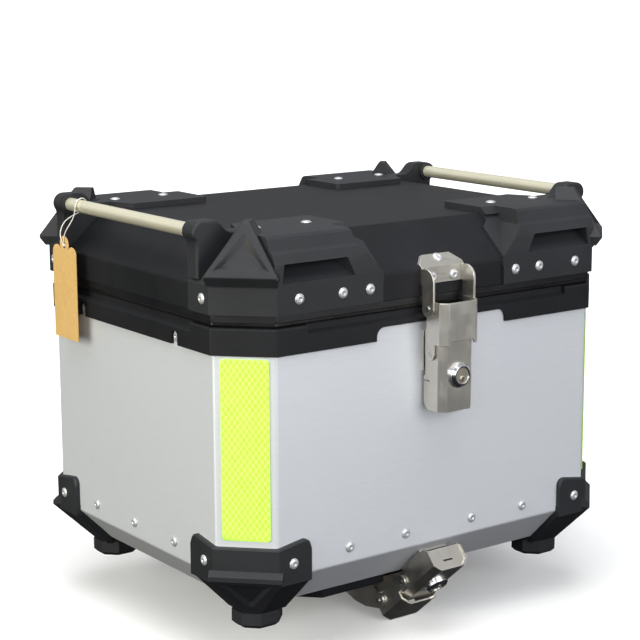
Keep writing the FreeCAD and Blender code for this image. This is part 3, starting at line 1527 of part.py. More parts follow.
def make_base_screws():
    """Button-head socket screws that hold the latch bracket under the base plate."""
    under = float(size("plate_low")) - float(size("ear_sheet"))
    shapes = []
    for x, y in SCREW_SPOTS:
        head = Part.makeCylinder(SCREW_HEAD, SCREW_HEAD_HIGH, Vector(x, y, under - SCREW_HEAD_HIGH))
        low_edges = [edge for edge in head.Edges
                     if abs(edge_middle(edge).z - (under - SCREW_HEAD_HIGH)) < 0.01]
        head = head.makeFillet(SCREW_HEAD_ROUND, low_edges)
        socket = arc_points(x, y, SCREW_SOCKET, 0, 300, 5)
        head = head.cut(prism("z", under - SCREW_HEAD_HIGH - 1, under - 1.0, socket))
        shank = Part.makeCylinder(SCREW_RADIUS, SCREW_LONG, Vector(x, y, under))
        shapes.append(head.fuse(shank).removeSplitter())
    return solid_feature("base_latch_screws", Part.makeCompound(shapes))


def make_base_plate():
    """The quick-release plate that stays on the motorcycle's rack."""
    body = new_body("base_plate")
    half = size("plate_half")
    front = size("plate_front")
    rear = size("plate_rear")
    low = size("plate_low")
    high = size("plate_high")
    cut = 22.0
    # The right front corner is cut back further than the other three.
    long_cut = 63.0
    notch_half = 30
    notch_deep = 12
    outline = [
        (-half, front + cut), (-half + cut, front), (-notch_half, front),
        (-notch_half, front + notch_deep), (notch_half, front + notch_deep), (notch_half, front),
        (half - long_cut, front), (half, front + long_cut),
        (half, rear - cut), (half - cut, rear), (-half + cut, rear), (-half, rear - cut),
    ]
    pad(body, "XY_Plane", low, high, outline)
    round_edges(body, 4.0, is_upright)
    lowest = float(low)
    round_edges(body, 1.5, lambda edge: abs(edge_middle(edge).z - lowest) < 0.01)
    # Windows save weight; two long slots at each side take the rack's bolts.
    windows = [rectangle(-28, 28, -36, 30), rectangle(-28, 28, 48, 92),
               rectangle(-104, -88, -70, 70), rectangle(88, 104, -70, 70),
               rectangle(-78, -44, -32, 32), rectangle(44, 78, -32, 32)]
    for window in windows:
        pocket(body, "XY_Plane", low - 1, high + 1, window)
    screw_holes(body, low - 1, high + 1)
    for sign_x in (-1, 1):
        for sign_y in (-1, 1):
            cut_slot(body, sign_x * size("slot_x"), sign_y * size("slot_y"), low, high)
    return body


def cut_slot(body, x, y, low, high):
    """A long bolt hole along X: two round ends joined by a rectangle."""
    radius = size("slot_radius")
    run = size("slot_long") / 2 - radius
    pocket(body, "XY_Plane", low - 1, high + 1, (x - run, y, radius))
    pocket(body, "XY_Plane", low - 1, high + 1, (x + run, y, radius))
    pocket(body, "XY_Plane", low - 1, high + 1, rectangle(x - run, x + run,
                                                         y - radius, y + radius))


def make_base_bracket():
    """The folded bracket under the base plate that carries the base latch."""
    body = new_body("base_latch_bracket")
    inside = size("ear_inside")
    ear = inside + size("ear_sheet")
    pin_y = size("base_ear_y")
    pin_z = size("base_ear_z")
    low = size("plate_low")
    pad(body, "XY_Plane", low - 2, low, [(-ear, -104), (ear, -104), (ear, -56), (-ear, -56)])
    ears = [(-56, low), (-57, -12), (-66, -20), (-80, -24.5), (-96, -25.5), (pin_y, pin_z - 7.5),
            (pin_y + 2, pin_z + 7.3), (-104, 2), (-104, low)]
    for low_x, high_x in ((-ear, -inside), (inside, ear)):
        pad(body, "YZ_Plane", low_x, high_x, ears)
        pad(body, "YZ_Plane", low_x, high_x, (pin_y, pin_z, 7.5))
    pocket(body, "YZ_Plane", -ear - 1, ear + 1, (pin_y, pin_z, size("latch_pin")))
    # A web folded down between the ears stiffens them.
    pad(body, "YZ_Plane", -ear + 0.5, ear - 0.5, rectangle(-104, -102, -12, low - 1))
    screw_holes(body, low - 3, low + 1)
    return body


def make_dock_rail():
    """The folded rail under the case that the base plate's rear edge slides into."""
    body = new_body("dock_rail")
    rear = size("plate_rear")
    top = size("under_side")
    thick = size("rail_sheet")
    low = size("plate_low") - 0.5
    riser = rear + 1.5
    lip_end = rear - 10
    flange_end = rear + 18
    profile = [(lip_end, low - thick), (riser + thick, low - thick), (riser + thick, top - thick),
               (flange_end, top - thick), (flange_end, top), (riser, top), (riser, low),
               (lip_end, low)]
    pad(body, "YZ_Plane", -RAIL_HALF, RAIL_HALF, profile)
    rail_holes(body, top - thick - 1, top + 1)
    return body


TAG_X = -228.5
TAG_Y = 92.0
TAG_TOP = 322.0
TAG_LONG = 96.0
TAG_HALF = 22.0
TAG_HOLE = 3.0
TAG_HOLE_DROP = 8.5
TAG_LOBE = 8.0
CORD = 0.5


def make_tag_string():
    """The thin cord of the card tag: a loop over the left bar, knotted in the tag's hole."""
    bar_x = -float(size("bar_x"))
    bar_z = float(size("bar_z"))
    clear = float(size("bar_radius")) + CORD + 0.6
    hole = Vector(TAG_X, TAG_Y, TAG_TOP - TAG_HOLE_DROP)
    way = [hole, Vector(TAG_X - 0.5, TAG_Y - 5.0, hole.z + 14.0),
           Vector(bar_x - clear - 1.5, TAG_Y - 10.0, bar_z - 6.0),
           Vector(bar_x - clear * 0.75, TAG_Y - 9.5, bar_z + clear * 0.75),
           Vector(bar_x + clear * 0.4, TAG_Y - 7.0, bar_z + clear),
           Vector(bar_x + clear + 0.6, TAG_Y - 3.0, bar_z),
           Vector(bar_x + 1.0, TAG_Y + 4.0, bar_z - clear - 1.0),
           Vector(bar_x - 7.5, TAG_Y + 7.5, bar_z - clear - 6.5),
           Vector(TAG_X - 0.6, TAG_Y + 5.5, hole.z + 12.0), hole]
    spline = Part.BSplineCurve()
    spline.interpolate(way)
    path = Part.Wire([spline.toShape()])
    start = spline.tangent(spline.FirstParameter)[0]
    ring = Part.Wire([Part.makeCircle(CORD, hole, start)])
    loop = path.makePipeShell([ring], True, True)
    knot = Part.makeSphere(1.7, hole)
    return solid_feature("tag_string", fuse_all([loop, knot]))


def make_hang_tag():
    """A blank card tag with a top of three lobes, hanging from its cord."""
    side_level = TAG_TOP - TAG_LOBE - 9.0
    side_y = TAG_HALF - TAG_LOBE
    half_sheet = 0.4
    low_x = TAG_X - half_sheet

    def disc(y, z, radius):
        return Part.makeCylinder(radius, 2 * half_sheet, Vector(low_x, y, z), Vector(1, 0, 0))

    sheet_solid = prism("x", low_x, TAG_X + half_sheet, rectangle(
        TAG_Y - TAG_HALF, TAG_Y + TAG_HALF, TAG_TOP - TAG_LONG, side_level))
    filler = prism("x", low_x, TAG_X + half_sheet, rectangle(
        TAG_Y - side_y, TAG_Y + side_y, side_level - 1, side_level + 4))
    card = fuse_all([sheet_solid, filler, disc(TAG_Y, TAG_TOP - TAG_LOBE, TAG_LOBE),
                     disc(TAG_Y - side_y, side_level, TAG_LOBE),
                     disc(TAG_Y + side_y, side_level, TAG_LOBE)])
    hole = Part.makeCylinder(TAG_HOLE, 4.0, Vector(TAG_X - 2, TAG_Y, TAG_TOP - TAG_HOLE_DROP),
                             Vector(1, 0, 0))
    return solid_feature("hang_tag", card.cut(hole))


def make_rivet_group(label, spots):
    """All rivets of one body, each a separate solid."""
    shapes = [turned(rivet(grip), spot, outward) for spot, outward, grip in spots]
    return solid_feature(label, Part.makeCompound(shapes))


# ---------------------------------------------------------------------------
# Build every piece
# ---------------------------------------------------------------------------
parts = [make_body_shell(), make_floor_pan(), make_floor_mat(), make_collar_frame()]
bracket_rear_right = make_corner_bracket()
bracket_rear_left = mirrored("corner_bracket_rear_left", bracket_rear_right, Vector(1, 0, 0))
bracket_front_right = mirrored("corner_bracket_front_right", bracket_rear_right, Vector(0, 1, 0))
bracket_front_left = mirrored("corner_bracket_front_left", bracket_rear_left, Vector(0, 1, 0))
parts += [bracket_rear_right, bracket_rear_left, bracket_front_right, bracket_front_left]
for reflector_y, end in ((-1, "front"), (1, "rear")):
    for reflector_x, hand in ((-1, "left"), (1, "right")):
        parts.append(make_reflector(f"reflector_{end}_{hand}", reflector_x, reflector_y))

for hinge_side, hand in ((-1, "left"), (1, "right")):
    hinge_spot = (hinge_side * size("hinge_x"), size("hinge_y"), size("hinge_z"))
    parts.append(make_hinge_leaf(f"hinge_{hand}_case_leaf", hinge_side, False))
    parts.append(make_hinge_leaf(f"hinge_{hand}_lid_leaf", hinge_side, True))
    parts.append(make_pin(f"hinge_{hand}_pin", hinge_spot, size("hinge_pin"),
                          size("hinge_wide") + 1.0))

parts += [make_lid_shell(), make_lid_rim(), make_lid_seal()]
guard_rear_right = make_lid_guard()
guard_rear_left = mirrored("lid_guard_rear_left", guard_rear_right, Vector(1, 0, 0))
guard_front_right = mirrored("lid_guard_front_right", guard_rear_right, Vector(0, 1, 0))
guard_front_left = mirrored("lid_guard_front_left", guard_rear_left, Vector(0, 1, 0))
parts += [guard_rear_right, guard_rear_left, guard_front_right, guard_front_left]
parts += [make_handle_bar("handle_bar_left", -1), make_handle_bar("handle_bar_right", 1)]

lid_place = lid_latch_place()
base_place = base_latch_place()
parts += [make_lid_latch_bracket(), make_base_plate(), make_base_bracket(), make_dock_rail()]
PIN_TOTAL = (size("ear_inside") + size("ear_sheet")) * 2 + 2.0
for prefix, place in (("lid", lid_place), ("base", base_place)):
    parts.append(make_hood(f"{prefix}_latch_hood", place))
    parts.append(make_lever(f"{prefix}_latch_lever", place))
    parts.append(make_lever_cap(f"{prefix}_latch_lever_cap", place))
    parts.append(make_lock_housing(f"{prefix}_lock_housing", place))
    parts.append(make_lock_plug(f"{prefix}_lock_plug", place))
    ear_spot = place.multVec(Vector(0, float(PIN_Y), 0))
    parts.append(make_pin(f"{prefix}_latch_ear_pin", ear_spot, size("latch_pin"), PIN_TOTAL))
    parts.append(make_arm_rivets(f"{prefix}_latch_arm_rivets", place))
parts += [make_lid_keeper(), make_base_keeper(), make_base_screws()]

parts.append(make_rivet_group("case_rivets", case_row_spots + wing_spots + notch_spots
                              + collar_hinge_spots + rail_spots + lid_keeper_spots
                              + base_keeper_spots))
parts.append(make_rivet_group("lid_rivets", guard_spots + flange_spots + skirt_hinge_spots
                              + latch_spots + slope_spots))
parts += [make_tag_string(), make_hang_tag()]

# A mirrored piece follows its source, so only the others are moved.
down = Placement(Vector(0, 0, -float(size("plate_low"))), Rotation())
for part in parts:
    if part.TypeId != "Part::Mirroring":
        part.Placement = down * part.Placement

doc.recompute()
for item in doc.Objects:
    if "Invalid" in item.State or "Error" in item.State:
        raise RuntimeError(f"{item.Label} is {item.State}")
os.makedirs("parts", exist_ok=True)
for part in parts:
    if part.Shape.isNull() or not part.Shape.isValid():
        raise RuntimeError(f"{part.Label} has no valid shape")
    part.Shape.exportStep(f"parts/{part.Label}.step")
    print(part.Label, len(part.Shape.Solids), round(part.Shape.Volume, 1))
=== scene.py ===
import json
import math

import bmesh
import bpy
from mathutils import Color, Matrix, Vector


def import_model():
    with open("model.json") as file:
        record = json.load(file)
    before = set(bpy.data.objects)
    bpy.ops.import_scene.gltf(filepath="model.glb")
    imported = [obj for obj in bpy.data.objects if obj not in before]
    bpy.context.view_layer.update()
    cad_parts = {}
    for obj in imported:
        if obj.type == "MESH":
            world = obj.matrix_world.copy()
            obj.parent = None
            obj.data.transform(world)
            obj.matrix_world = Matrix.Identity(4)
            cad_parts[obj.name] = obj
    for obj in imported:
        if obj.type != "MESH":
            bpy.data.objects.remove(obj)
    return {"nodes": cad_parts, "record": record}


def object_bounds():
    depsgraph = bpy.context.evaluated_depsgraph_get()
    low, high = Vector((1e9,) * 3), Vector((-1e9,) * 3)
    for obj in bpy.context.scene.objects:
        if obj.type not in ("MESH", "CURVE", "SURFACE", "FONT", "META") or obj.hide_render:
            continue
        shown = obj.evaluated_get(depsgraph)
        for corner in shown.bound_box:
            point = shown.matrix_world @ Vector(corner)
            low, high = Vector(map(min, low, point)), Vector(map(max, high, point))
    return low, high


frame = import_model()
CAD_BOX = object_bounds()
NODES = frame["nodes"]
MM = 0.001
BYTE = 255.0

# Where a fade between two tints starts and ends, as levels of the noise that drives it.
FADE = (0.3, 0.7)
LATE_FADE = (0.35, 0.75)
# A face counts as open or as an edge by how far its bevelled normal turns away.
OPEN_FACE = 0.98
SHARP_EDGE = 0.80
EDGE_SAMPLES = 4


# ---------------------------------------------------------------------------
# Short calls for building materials from nodes
# ---------------------------------------------------------------------------
class Graph:
    """One material's node tree, with short calls for the nodes used here."""

    def __init__(self, name):
        self.material = bpy.data.materials.new(name)
        self.material.use_nodes = True
        self.tree = self.material.node_tree
        self.tree.nodes.clear()
        self.output = self.add("ShaderNodeOutputMaterial")
        self.coords = self.add("ShaderNodeTexCoord").outputs["Object"]

    def add(self, kind, **settings):
        node = self.tree.nodes.new(kind)
        for key, value in settings.items():
            setattr(node, key, value)
        return node

    def feed(self, socket, value):
        """Link a socket, or set it when value is a plain number or colour."""
        if isinstance(value, bpy.types.NodeSocket):
            self.tree.links.new(value, socket)
        else:
            socket.default_value = value

    def noise(self, scale, detail=3.0, rough=0.5, vector=None):
        """Cloudy noise that repeats scale times per metre."""
        node = self.add("ShaderNodeTexNoise")
        self.feed(node.inputs["Vector"], vector or self.coords)
        node.inputs["Scale"].default_value = scale
        node.inputs["Detail"].default_value = detail
        node.inputs["Roughness"].default_value = rough
        return node.outputs["Fac"]

    def streaks(self, repeats, detail=2.0, rough=0.6):
        """Noise with its own repeats per metre along X, Y and Z."""
        node = self.add("ShaderNodeMapping")
        self.feed(node.inputs["Vector"], self.coords)
        node.inputs["Scale"].default_value = repeats
        return self.noise(1.0, detail, rough, node.outputs["Vector"])

    def cells(self, scale):
        """Distance to the nearest of many scattered points: a pebbled grain."""
        node = self.add("ShaderNodeTexVoronoi")
        self.feed(node.inputs["Vector"], self.coords)
        node.inputs["Scale"].default_value = scale
        return node.outputs["Distance"]

    def calculate(self, operation, first, second=0.0):
        node = self.add("ShaderNodeMath", operation=operation)
        self.feed(node.inputs[0], first)
        self.feed(node.inputs[1], second)
        return node.outputs[0]

    def plus(self, first, second):
        return self.calculate("ADD", first, second)

    def times(self, first, second):
        return self.calculate("MULTIPLY", first, second)

    def spread(self, value, low, high, to_low=0.0, to_high=1.0):
        """Map a value from one span to another, held at both ends."""
        node = self.add("ShaderNodeMapRange")
        self.feed(node.inputs["Value"], value)
        node.inputs["From Min"].default_value = low
        node.inputs["From Max"].default_value = high
        node.inputs["To Min"].default_value = to_low
        node.inputs["To Max"].default_value = to_high
        return node.outputs["Result"]

    def rise(self, value, low, high, most):
        """0 up to low, then rising to most at high."""
        return self.spread(value, low, high, 0.0, most)

    def blend(self, factor, first, second):
        """The first colour where factor is 0, the second where it is 1."""
        node = self.add("ShaderNodeMix", data_type="RGBA")
        self.feed(node.inputs["Factor"], factor)
        self.feed(node.inputs["A"], first)
        self.feed(node.inputs["B"], second)
        return node.outputs["Result"]

    def bump(self, height, depth, strength):
        """A surface grain, depth metres deep where height is 1."""
        node = self.add("ShaderNodeBump")
        self.feed(node.inputs["Height"], height)
        node.inputs["Distance"].default_value = depth
        node.inputs["Strength"].default_value = strength
        return node.outputs["Normal"]

    def edges(self, radius):
        """1 along convex and concave edges, 0 on open faces."""
        bevel = self.add("ShaderNodeBevel", samples=EDGE_SAMPLES)
        bevel.inputs["Radius"].default_value = radius
        geometry = self.add("ShaderNodeNewGeometry")
        dot = self.add("ShaderNodeVectorMath", operation="DOT_PRODUCT")
        self.feed(dot.inputs[0], bevel.outputs["Normal"])
        self.feed(dot.inputs[1], geometry.outputs["Normal"])
        return self.spread(dot.outputs["Value"], OPEN_FACE, SHARP_EDGE)

    def finish(self, **inputs):
        """The finished material, from the shader inputs given by name."""
        shader = self.add("ShaderNodeBsdfPrincipled")
        for key, value in inputs.items():
            self.feed(shader.inputs[key.replace("_", " ")], value)
        self.feed(self.output.inputs["Surface"], shader.outputs["BSDF"])
        return self.material


def colour(red, green, blue):
    """A colour given as screen values from 0 to 255, in the renderer's linear scale."""
    screen = Color((red / BYTE, green / BYTE, blue / BYTE))
    return (*screen.from_srgb_to_scene_linear(), 1.0)


def darker(base, step):
    """A colour a step below base in each of its three screen values."""
    return colour(*[part - step for part in base])


# ---------------------------------------------------------------------------
# Materials
# ---------------------------------------------------------------------------
# Repeats per metre along X, Y and Z: many across the lines and few along them.
SHEET_ROLLED = (60.0, 60.0, 2600.0)
LATCH_BRUSHED = (1900.0, 40.0, 40.0)
PIN_TURNED = (40.0, 900.0, 900.0)
LOCK_WIPED = (900.0, 60.0, 60.0)
TUBE_DRAWN = (2400.0, 12.0, 2400.0)
CARD_PULP = (600.0, 900.0, 240.0)
# How far a tint drops below its base for a grain line, a cloud and a smear of haze.
GRAIN_SHADE = 7
CLOUD_SHADE = 10
HAZE_SHADE = 40
# How far in from an edge the painted edge highlight reaches, and on rivets the painted edge
# shade.
HIGHLIGHT_EDGE_BAND = 0.7 * MM
PAINTED_EDGE_BAND = 0.6 * MM


def anodised_sheet(name, base, rough):
    """Silver sheet with a fine horizontal grain and faint handling marks."""
    g = Graph(name)
    grain = g.streaks(SHEET_ROLLED)
    cloud = g.noise(5.0)
    tint = g.blend(g.spread(grain, *FADE), darker(base, GRAIN_SHADE), colour(*base))
    tint = g.blend(g.rise(cloud, 0.35, 0.7, most=0.25), tint, darker(base, CLOUD_SHADE))
    roughness = g.plus(g.spread(grain, *FADE, rough, rough + 0.06),
                       g.rise(cloud, *FADE, most=0.04))
    height = g.plus(grain, g.times(g.noise(1600.0, detail=1.0), 0.5))
    return g.finish(Base_Color=tint, Metallic=0.4, Roughness=roughness,
                    Normal=g.bump(height, depth=0.012 * MM, strength=0.5))


def black_finish(name, level, rough, grain_size=1100.0, edge_highlight=0.30, gloss=0.24):
    """Satin black with a fine moulded or sprayed grain and a painted highlight along its
    edges.
    """
    g = Graph(name)
    grain = g.cells(grain_size)
    fine = g.noise(grain_size * 1.7, detail=2.0, rough=0.6)
    patches = g.noise(14.0, detail=3.0, rough=0.6)
    dark = colour(level - 1, level, level + 3)
    pale = colour(level + 33, level + 34, level + 39)
    tint = g.blend(g.rise(patches, *LATE_FADE, most=0.16), dark, pale)
    # Painted highlight: the pale tint laid along the edges.
    tint = g.blend(g.times(g.edges(HIGHLIGHT_EDGE_BAND), edge_highlight), tint, pale)
    tint = g.blend(g.rise(fine, 0.45, 0.75, most=0.12), tint, pale)
    roughness = g.plus(g.spread(patches, *FADE, rough, rough + 0.07),
                       g.rise(fine, *FADE, most=0.06))
    height = g.plus(g.times(grain, 0.8), fine)
    return g.finish(Base_Color=tint, Roughness=roughness, Specular_IOR_Level=gloss,
                    Normal=g.bump(height, depth=0.09 * MM, strength=0.5))


def rubber(name, level, rough):
    """Dark rubber with a little dust and a soft uneven skin."""
    g = Graph(name)
    dust = g.noise(260.0, detail=4.0, rough=0.65)
    soft = g.noise(30.0, detail=2.0)
    clean = colour(level, level, level)
    dusty = darker((level, level, level), -30)
    tint = g.blend(g.rise(dust, 0.5, 0.8, most=0.2), clean, dusty)
    return g.finish(Base_Color=tint, Roughness=g.spread(soft, *FADE, rough, rough + 0.12),
                    Normal=g.bump(g.plus(dust, soft), depth=0.15 * MM, strength=0.4))


def brushed_steel(name, base, rough, lines_run):
    """Stainless sheet brushed one way, with a painted highlight along its edges and a few
    scuffs.
    """
    g = Graph(name)
    lines = g.streaks(lines_run)
    scuffs = g.noise(55.0, detail=4.0, rough=0.7)
    painted_edge_highlight = colour(254, 252, 246)
    tint = g.blend(g.spread(lines, *FADE), darker(base, GRAIN_SHADE), colour(*base))
    # Painted highlight: a near-white tint laid along the edges.
    tint = g.blend(g.times(g.edges(PAINTED_EDGE_BAND), 0.8), tint, painted_edge_highlight)
    roughness = g.plus(g.spread(lines, *FADE, rough, rough + 0.05),
                       g.rise(scuffs, 0.45, 0.75, most=0.08))
    return g.finish(Base_Color=tint, Metallic=1.0, Roughness=roughness)


def polished(name, base, rough):
    """Plated metal with a light haze and fine wiping marks."""
    g = Graph(name)
    haze = g.noise(180.0)
    wipe = g.streaks(LOCK_WIPED)
    tint = g.blend(g.rise(haze, 0.4, 0.8, most=0.3), colour(*base), darker(base, HAZE_SHADE))
    return g.finish(Base_Color=tint, Metallic=1.0,
                    Roughness=g.spread(haze, *FADE, rough, rough + 0.08),
                    Normal=g.bump(wipe, depth=0.01 * MM, strength=0.4))


def rivet_metal(name):
    """Pale tumbled aluminium with painted shade where a head meets the sheet and around its
    hole.
    """
    g = Graph(name)
    mottle = g.noise(900.0, detail=3.0, rough=0.6)
    pale = colour(212, 213, 216)
    dull = colour(190, 191, 194)
    painted_crease_shade = colour(104, 104, 107)
    tint = g.blend(g.spread(mottle, *LATE_FADE), pale, dull)
    # Painted shade: a dark grey laid along the edges of the head and its hole.
    tint = g.blend(g.edges(PAINTED_EDGE_BAND), tint, painted_crease_shade)
    return g.finish(Base_Color=tint, Metallic=0.6,
                    Roughness=g.spread(mottle, *FADE, 0.36, 0.46),
                    Normal=g.bump(mottle, depth=0.05 * MM, strength=0.4))


def bar_tube(name):
    """Champagne anodised tube with fine lines from drawing."""
    g = Graph(name)
    lines = g.streaks(TUBE_DRAWN)
    soft = g.noise(22.0, detail=2.0)
    line_tint = colour(226, 221, 196)
    champagne = colour(240, 236, 214)
    tint = g.blend(g.spread(lines, *FADE), line_tint, champagne)
    return g.finish(Base_Color=tint, Metallic=0.6,
                    Roughness=g.spread(soft, *FADE, 0.26, 0.33),
                    Normal=g.bump(lines, depth=0.02 * MM, strength=0.6))


CELL_WIDE = 5.1 * MM
CELL_HIGH = 7.4 * MM
# The higher the power, the nearer a cell's corners come to sharp ones.
CELL_POWER = 5.0
# The paler line starts and is full at these shares of a cell's half width.
LINE_START = 0.78
LINE_FULL = 0.92


def reflector_film(name, sign):
    """Fluorescent film with rows of rounded diamond cells between paler lines, and a faint
    painted glow.
    """
    g = Graph(name)
    split = g.add("ShaderNodeSeparateXYZ")
    g.feed(split.inputs[0], g.coords)
    across = g.plus(split.outputs["X"], g.times(split.outputs["Y"], sign))
    across = g.times(across, 1.0 / (math.sqrt(2.0) * CELL_WIDE))
    up = g.times(split.outputs["Z"], 1.0 / CELL_HIGH)
    powered = []
    for operation in ("ADD", "SUBTRACT"):
        phase = g.calculate("FRACT", g.calculate(operation, across, up))
        distance = g.calculate("ABSOLUTE", g.calculate("SUBTRACT", phase, 0.5))
        powered.append(g.calculate("POWER", g.times(distance, 2.0), CELL_POWER))
    # A power sum of the two distances gives diamonds with rounded corners.
    reach = g.calculate("POWER", g.plus(*powered), 1.0 / CELL_POWER)
    line = g.spread(reach, LINE_START, LINE_FULL)
    glow = g.noise(120.0, detail=2.0)
    lime = colour(180, 246, 66)
    bright_lime = colour(188, 252, 82)
    pale_lime = colour(208, 250, 122)
    cell = g.blend(g.spread(glow, *FADE), lime, bright_lime)
    tint = g.blend(line, cell, pale_lime)
    dome = g.calculate("SUBTRACT", 1.0, line)
    # The emission is a painted glow: the film is no lamp.
    return g.finish(Base_Color=tint, Roughness=0.32, Coat_Weight=0.4, Coat_Roughness=0.15,
                    Emission_Color=tint, Emission_Strength=0.22,
                    Normal=g.bump(dome, depth=0.06 * MM, strength=0.5))


def kraft_card(name):
    """Brown card with fibres and specks."""
    g = Graph(name)
    fibres = g.streaks(CARD_PULP, detail=5.0, rough=0.75)
    specks = g.noise(1400.0, detail=2.0, rough=0.7)
    cloud = g.noise(40.0)
    brown = colour(188, 152, 92)
    buff = colour(212, 176, 114)
    speck_brown = colour(132, 96, 56)
    faded = colour(212, 178, 124)
    tint = g.blend(g.spread(fibres, *FADE), brown, buff)
    tint = g.blend(g.rise(specks, 0.62, 0.75, most=0.5), tint, speck_brown)
    tint = g.blend(g.rise(cloud, 0.4, 0.7, most=0.25), tint, faded)
    return g.finish(Base_Color=tint, Roughness=0.85, Specular_IOR_Level=0.2,
                    Normal=g.bump(fibres, depth=0.15 * MM, strength=0.5))


def cord(name):
    """White twisted cotton, with painted shade in the grooves of the twist."""
    g = Graph(name)
    twist = g.add("ShaderNodeTexWave", wave_type="BANDS", bands_direction="DIAGONAL")
    g.feed(twist.inputs["Vector"], g.coords)
    twist.inputs["Scale"].default_value = 420.0
    strand = twist.outputs["Fac"]
    painted_groove_shade = colour(196, 192, 184)
    cotton = colour(240, 238, 232)
    height = g.plus(strand, g.noise(2500.0))
    # Painted shade: the darker bands of the twist stand for the grooves between strands.
    return g.finish(Base_Color=g.blend(strand, painted_groove_shade, cotton), Roughness=0.9,
                    Normal=g.bump(height, depth=0.2 * MM, strength=0.6))


SILVER = (218, 221, 226)
DULL_SILVER = (190, 192, 196)
STAINLESS = (222, 218, 209)
GREY_STEEL = (205, 205, 205)
CHROME = (232, 233, 238)
WARM_CHROME = (196, 191, 176)
MATERIALS = {
    "body_sheet": anodised_sheet("body_sheet_finish", SILVER, rough=0.42),
    "inner_sheet": anodised_sheet("inner_sheet_finish", DULL_SILVER, rough=0.46),
    "lid_sheet": black_finish("lid_sheet_finish", level=17, rough=0.46, grain_size=1500.0,
                              edge_highlight=0.10, gloss=0.22),
    "black_plastic": black_finish("black_plastic_finish", level=31, rough=0.46,
                                  edge_highlight=0.40, gloss=0.34),
    "plate_plastic": black_finish("plate_plastic_finish", level=16, rough=0.36,
                                  grain_size=800.0, gloss=0.25),
    "coated_steel": black_finish("coated_steel_finish", level=20, rough=0.36,
                                 grain_size=2000.0, edge_highlight=0.40, gloss=0.25),
    "seal_rubber": rubber("seal_rubber_finish", level=14, rough=0.22),
    "mat_rubber": rubber("mat_rubber_finish", level=48, rough=0.8),
    "bar_tube": bar_tube("bar_tube_finish"),
    "latch_steel": brushed_steel("latch_steel_finish", STAINLESS, 0.30, LATCH_BRUSHED),
    "pin_steel": brushed_steel("pin_steel_finish", GREY_STEEL, 0.25, PIN_TURNED),
    "lock_chrome": polished("lock_chrome_finish", CHROME, rough=0.13),
    "rivet_aluminium": rivet_metal("rivet_aluminium_finish"),
    "tag_card": kraft_card("tag_card_finish"),
    "tag_cord": cord("tag_cord_finish"),
}
# A film lies along X - Y or X + Y, by the corner that it is on.
FILM_MINUS = reflector_film("film_minus_finish", -1.0)
FILM_PLUS = reflector_film("film_plus_finish", 1.0)
LOCK_CORE = polished("lock_core_finish", WARM_CHROME, rough=0.34)
FINISH_BY_NODE = {
    "reflector_front_left": FILM_MINUS,
    "reflector_rear_right": FILM_MINUS,
    "reflector_front_right": FILM_PLUS,
    "reflector_rear_left": FILM_PLUS,
    "lid_lock_plug": LOCK_CORE,
    "base_lock_plug": LOCK_CORE,
    "collar_frame": black_finish("collar_finish", level=18, rough=0.46),
    "lid_rim": black_finish("lid_rim_finish", level=9, rough=0.28, grain_size=1500.0,
                            edge_highlight=0.25, gloss=0.5),
}


# ---------------------------------------------------------------------------
# The CAD nodes keep their shape; small rounds and a finish are added on top
# ---------------------------------------------------------------------------
ROUND = {
    "black_plastic": 0.9 * MM,
    "plate_plastic": 0.9 * MM,
    "lid_sheet": 0.4 * MM,
    "body_sheet": 0.3 * MM,
    "latch_steel": 0.25 * MM,
    "coated_steel": 0.3 * MM,
    "lock_chrome": 0.2 * MM,
    "pin_steel": 0.3 * MM,
    "seal_rubber": 0.8 * MM,
    "mat_rubber": 1.0 * MM,
}
ROUND_STEPS = 2
# Edges that turn less than this stay as they are.
ROUND_FROM = math.radians(28.0)
WELD_GAP = 0.01 * MM
SHADING_DATA = ("custom_normal", "sharp_face", "sharp_edge")


def dress(node, slot):
    """Give one CAD node its finish, smooth shading and slightly rounded edges."""
    thing = NODES[node]
    thing.data.materials.clear()
    thing.data.materials.append(FINISH_BY_NODE.get(node) or MATERIALS[slot])
    for name in SHADING_DATA:
        if name in thing.data.attributes:
            thing.data.attributes.remove(thing.data.attributes[name])
    for face in thing.data.polygons:
        face.use_smooth = True
        face.material_index = 0
    weld = thing.modifiers.new("weld", "WELD")
    weld.merge_threshold = WELD_GAP
    if slot in ROUND:
        bevel = thing.modifiers.new("round", "BEVEL")
        bevel.limit_method = "ANGLE"
        bevel.angle_limit = ROUND_FROM
        bevel.width = ROUND[slot]
        bevel.segments = ROUND_STEPS
        bevel.harden_normals = True
    weighted = thing.modifiers.new("normals", "WEIGHTED_NORMAL")
    weighted.keep_sharp = True


for part in frame["record"]["subparts"]:
    dress(part["node"], part["material_slot"])


# ---------------------------------------------------------------------------
# Floor, light and camera
# ---------------------------------------------------------------------------
FLOOR_GAP = 0.5 * MM
FLOOR_HALF = 40.0
# The floor's own glow grows from under the case to well clear of it.
GLOW_FROM = 0.25
GLOW_TO = 1.3
GLOW_WEAK = 0.12
GLOW_STRONG = 0.95

# The room seen in reflections: levels from straight down (0) to straight up (1).
ROOM_STOPS = (
    (0.40, (0.035, 0.037, 0.042, 1)),
    (0.49, (0.30, 0.31, 0.33, 1)),
    (0.62, (0.78, 0.79, 0.82, 1)),
)
ROOM_STRENGTH = 0.55

LIGHT_AIM = Vector((0, 0, 0.2))
# Each soft light: place, width and height in metres, watts, tint.
SOFTBOXES = {
    "top_box": ((-0.3, -0.2, 1.9), 1.8, 1.4, 30.0, (1.0, 1.0, 1.0)),
    "front_box": ((0.25, -2.2, 0.7), 1.8, 1.6, 32.0, (0.99, 0.99, 0.99)),
    "left_box": ((-2.2, -0.1, 0.6), 1.6, 1.4, 42.0, (1.0, 0.975, 0.83)),
    "corner_box": ((-1.9, -2.0, 1.0), 0.9, 0.9, 17.0, (0.93, 0.96, 1.0)),
}

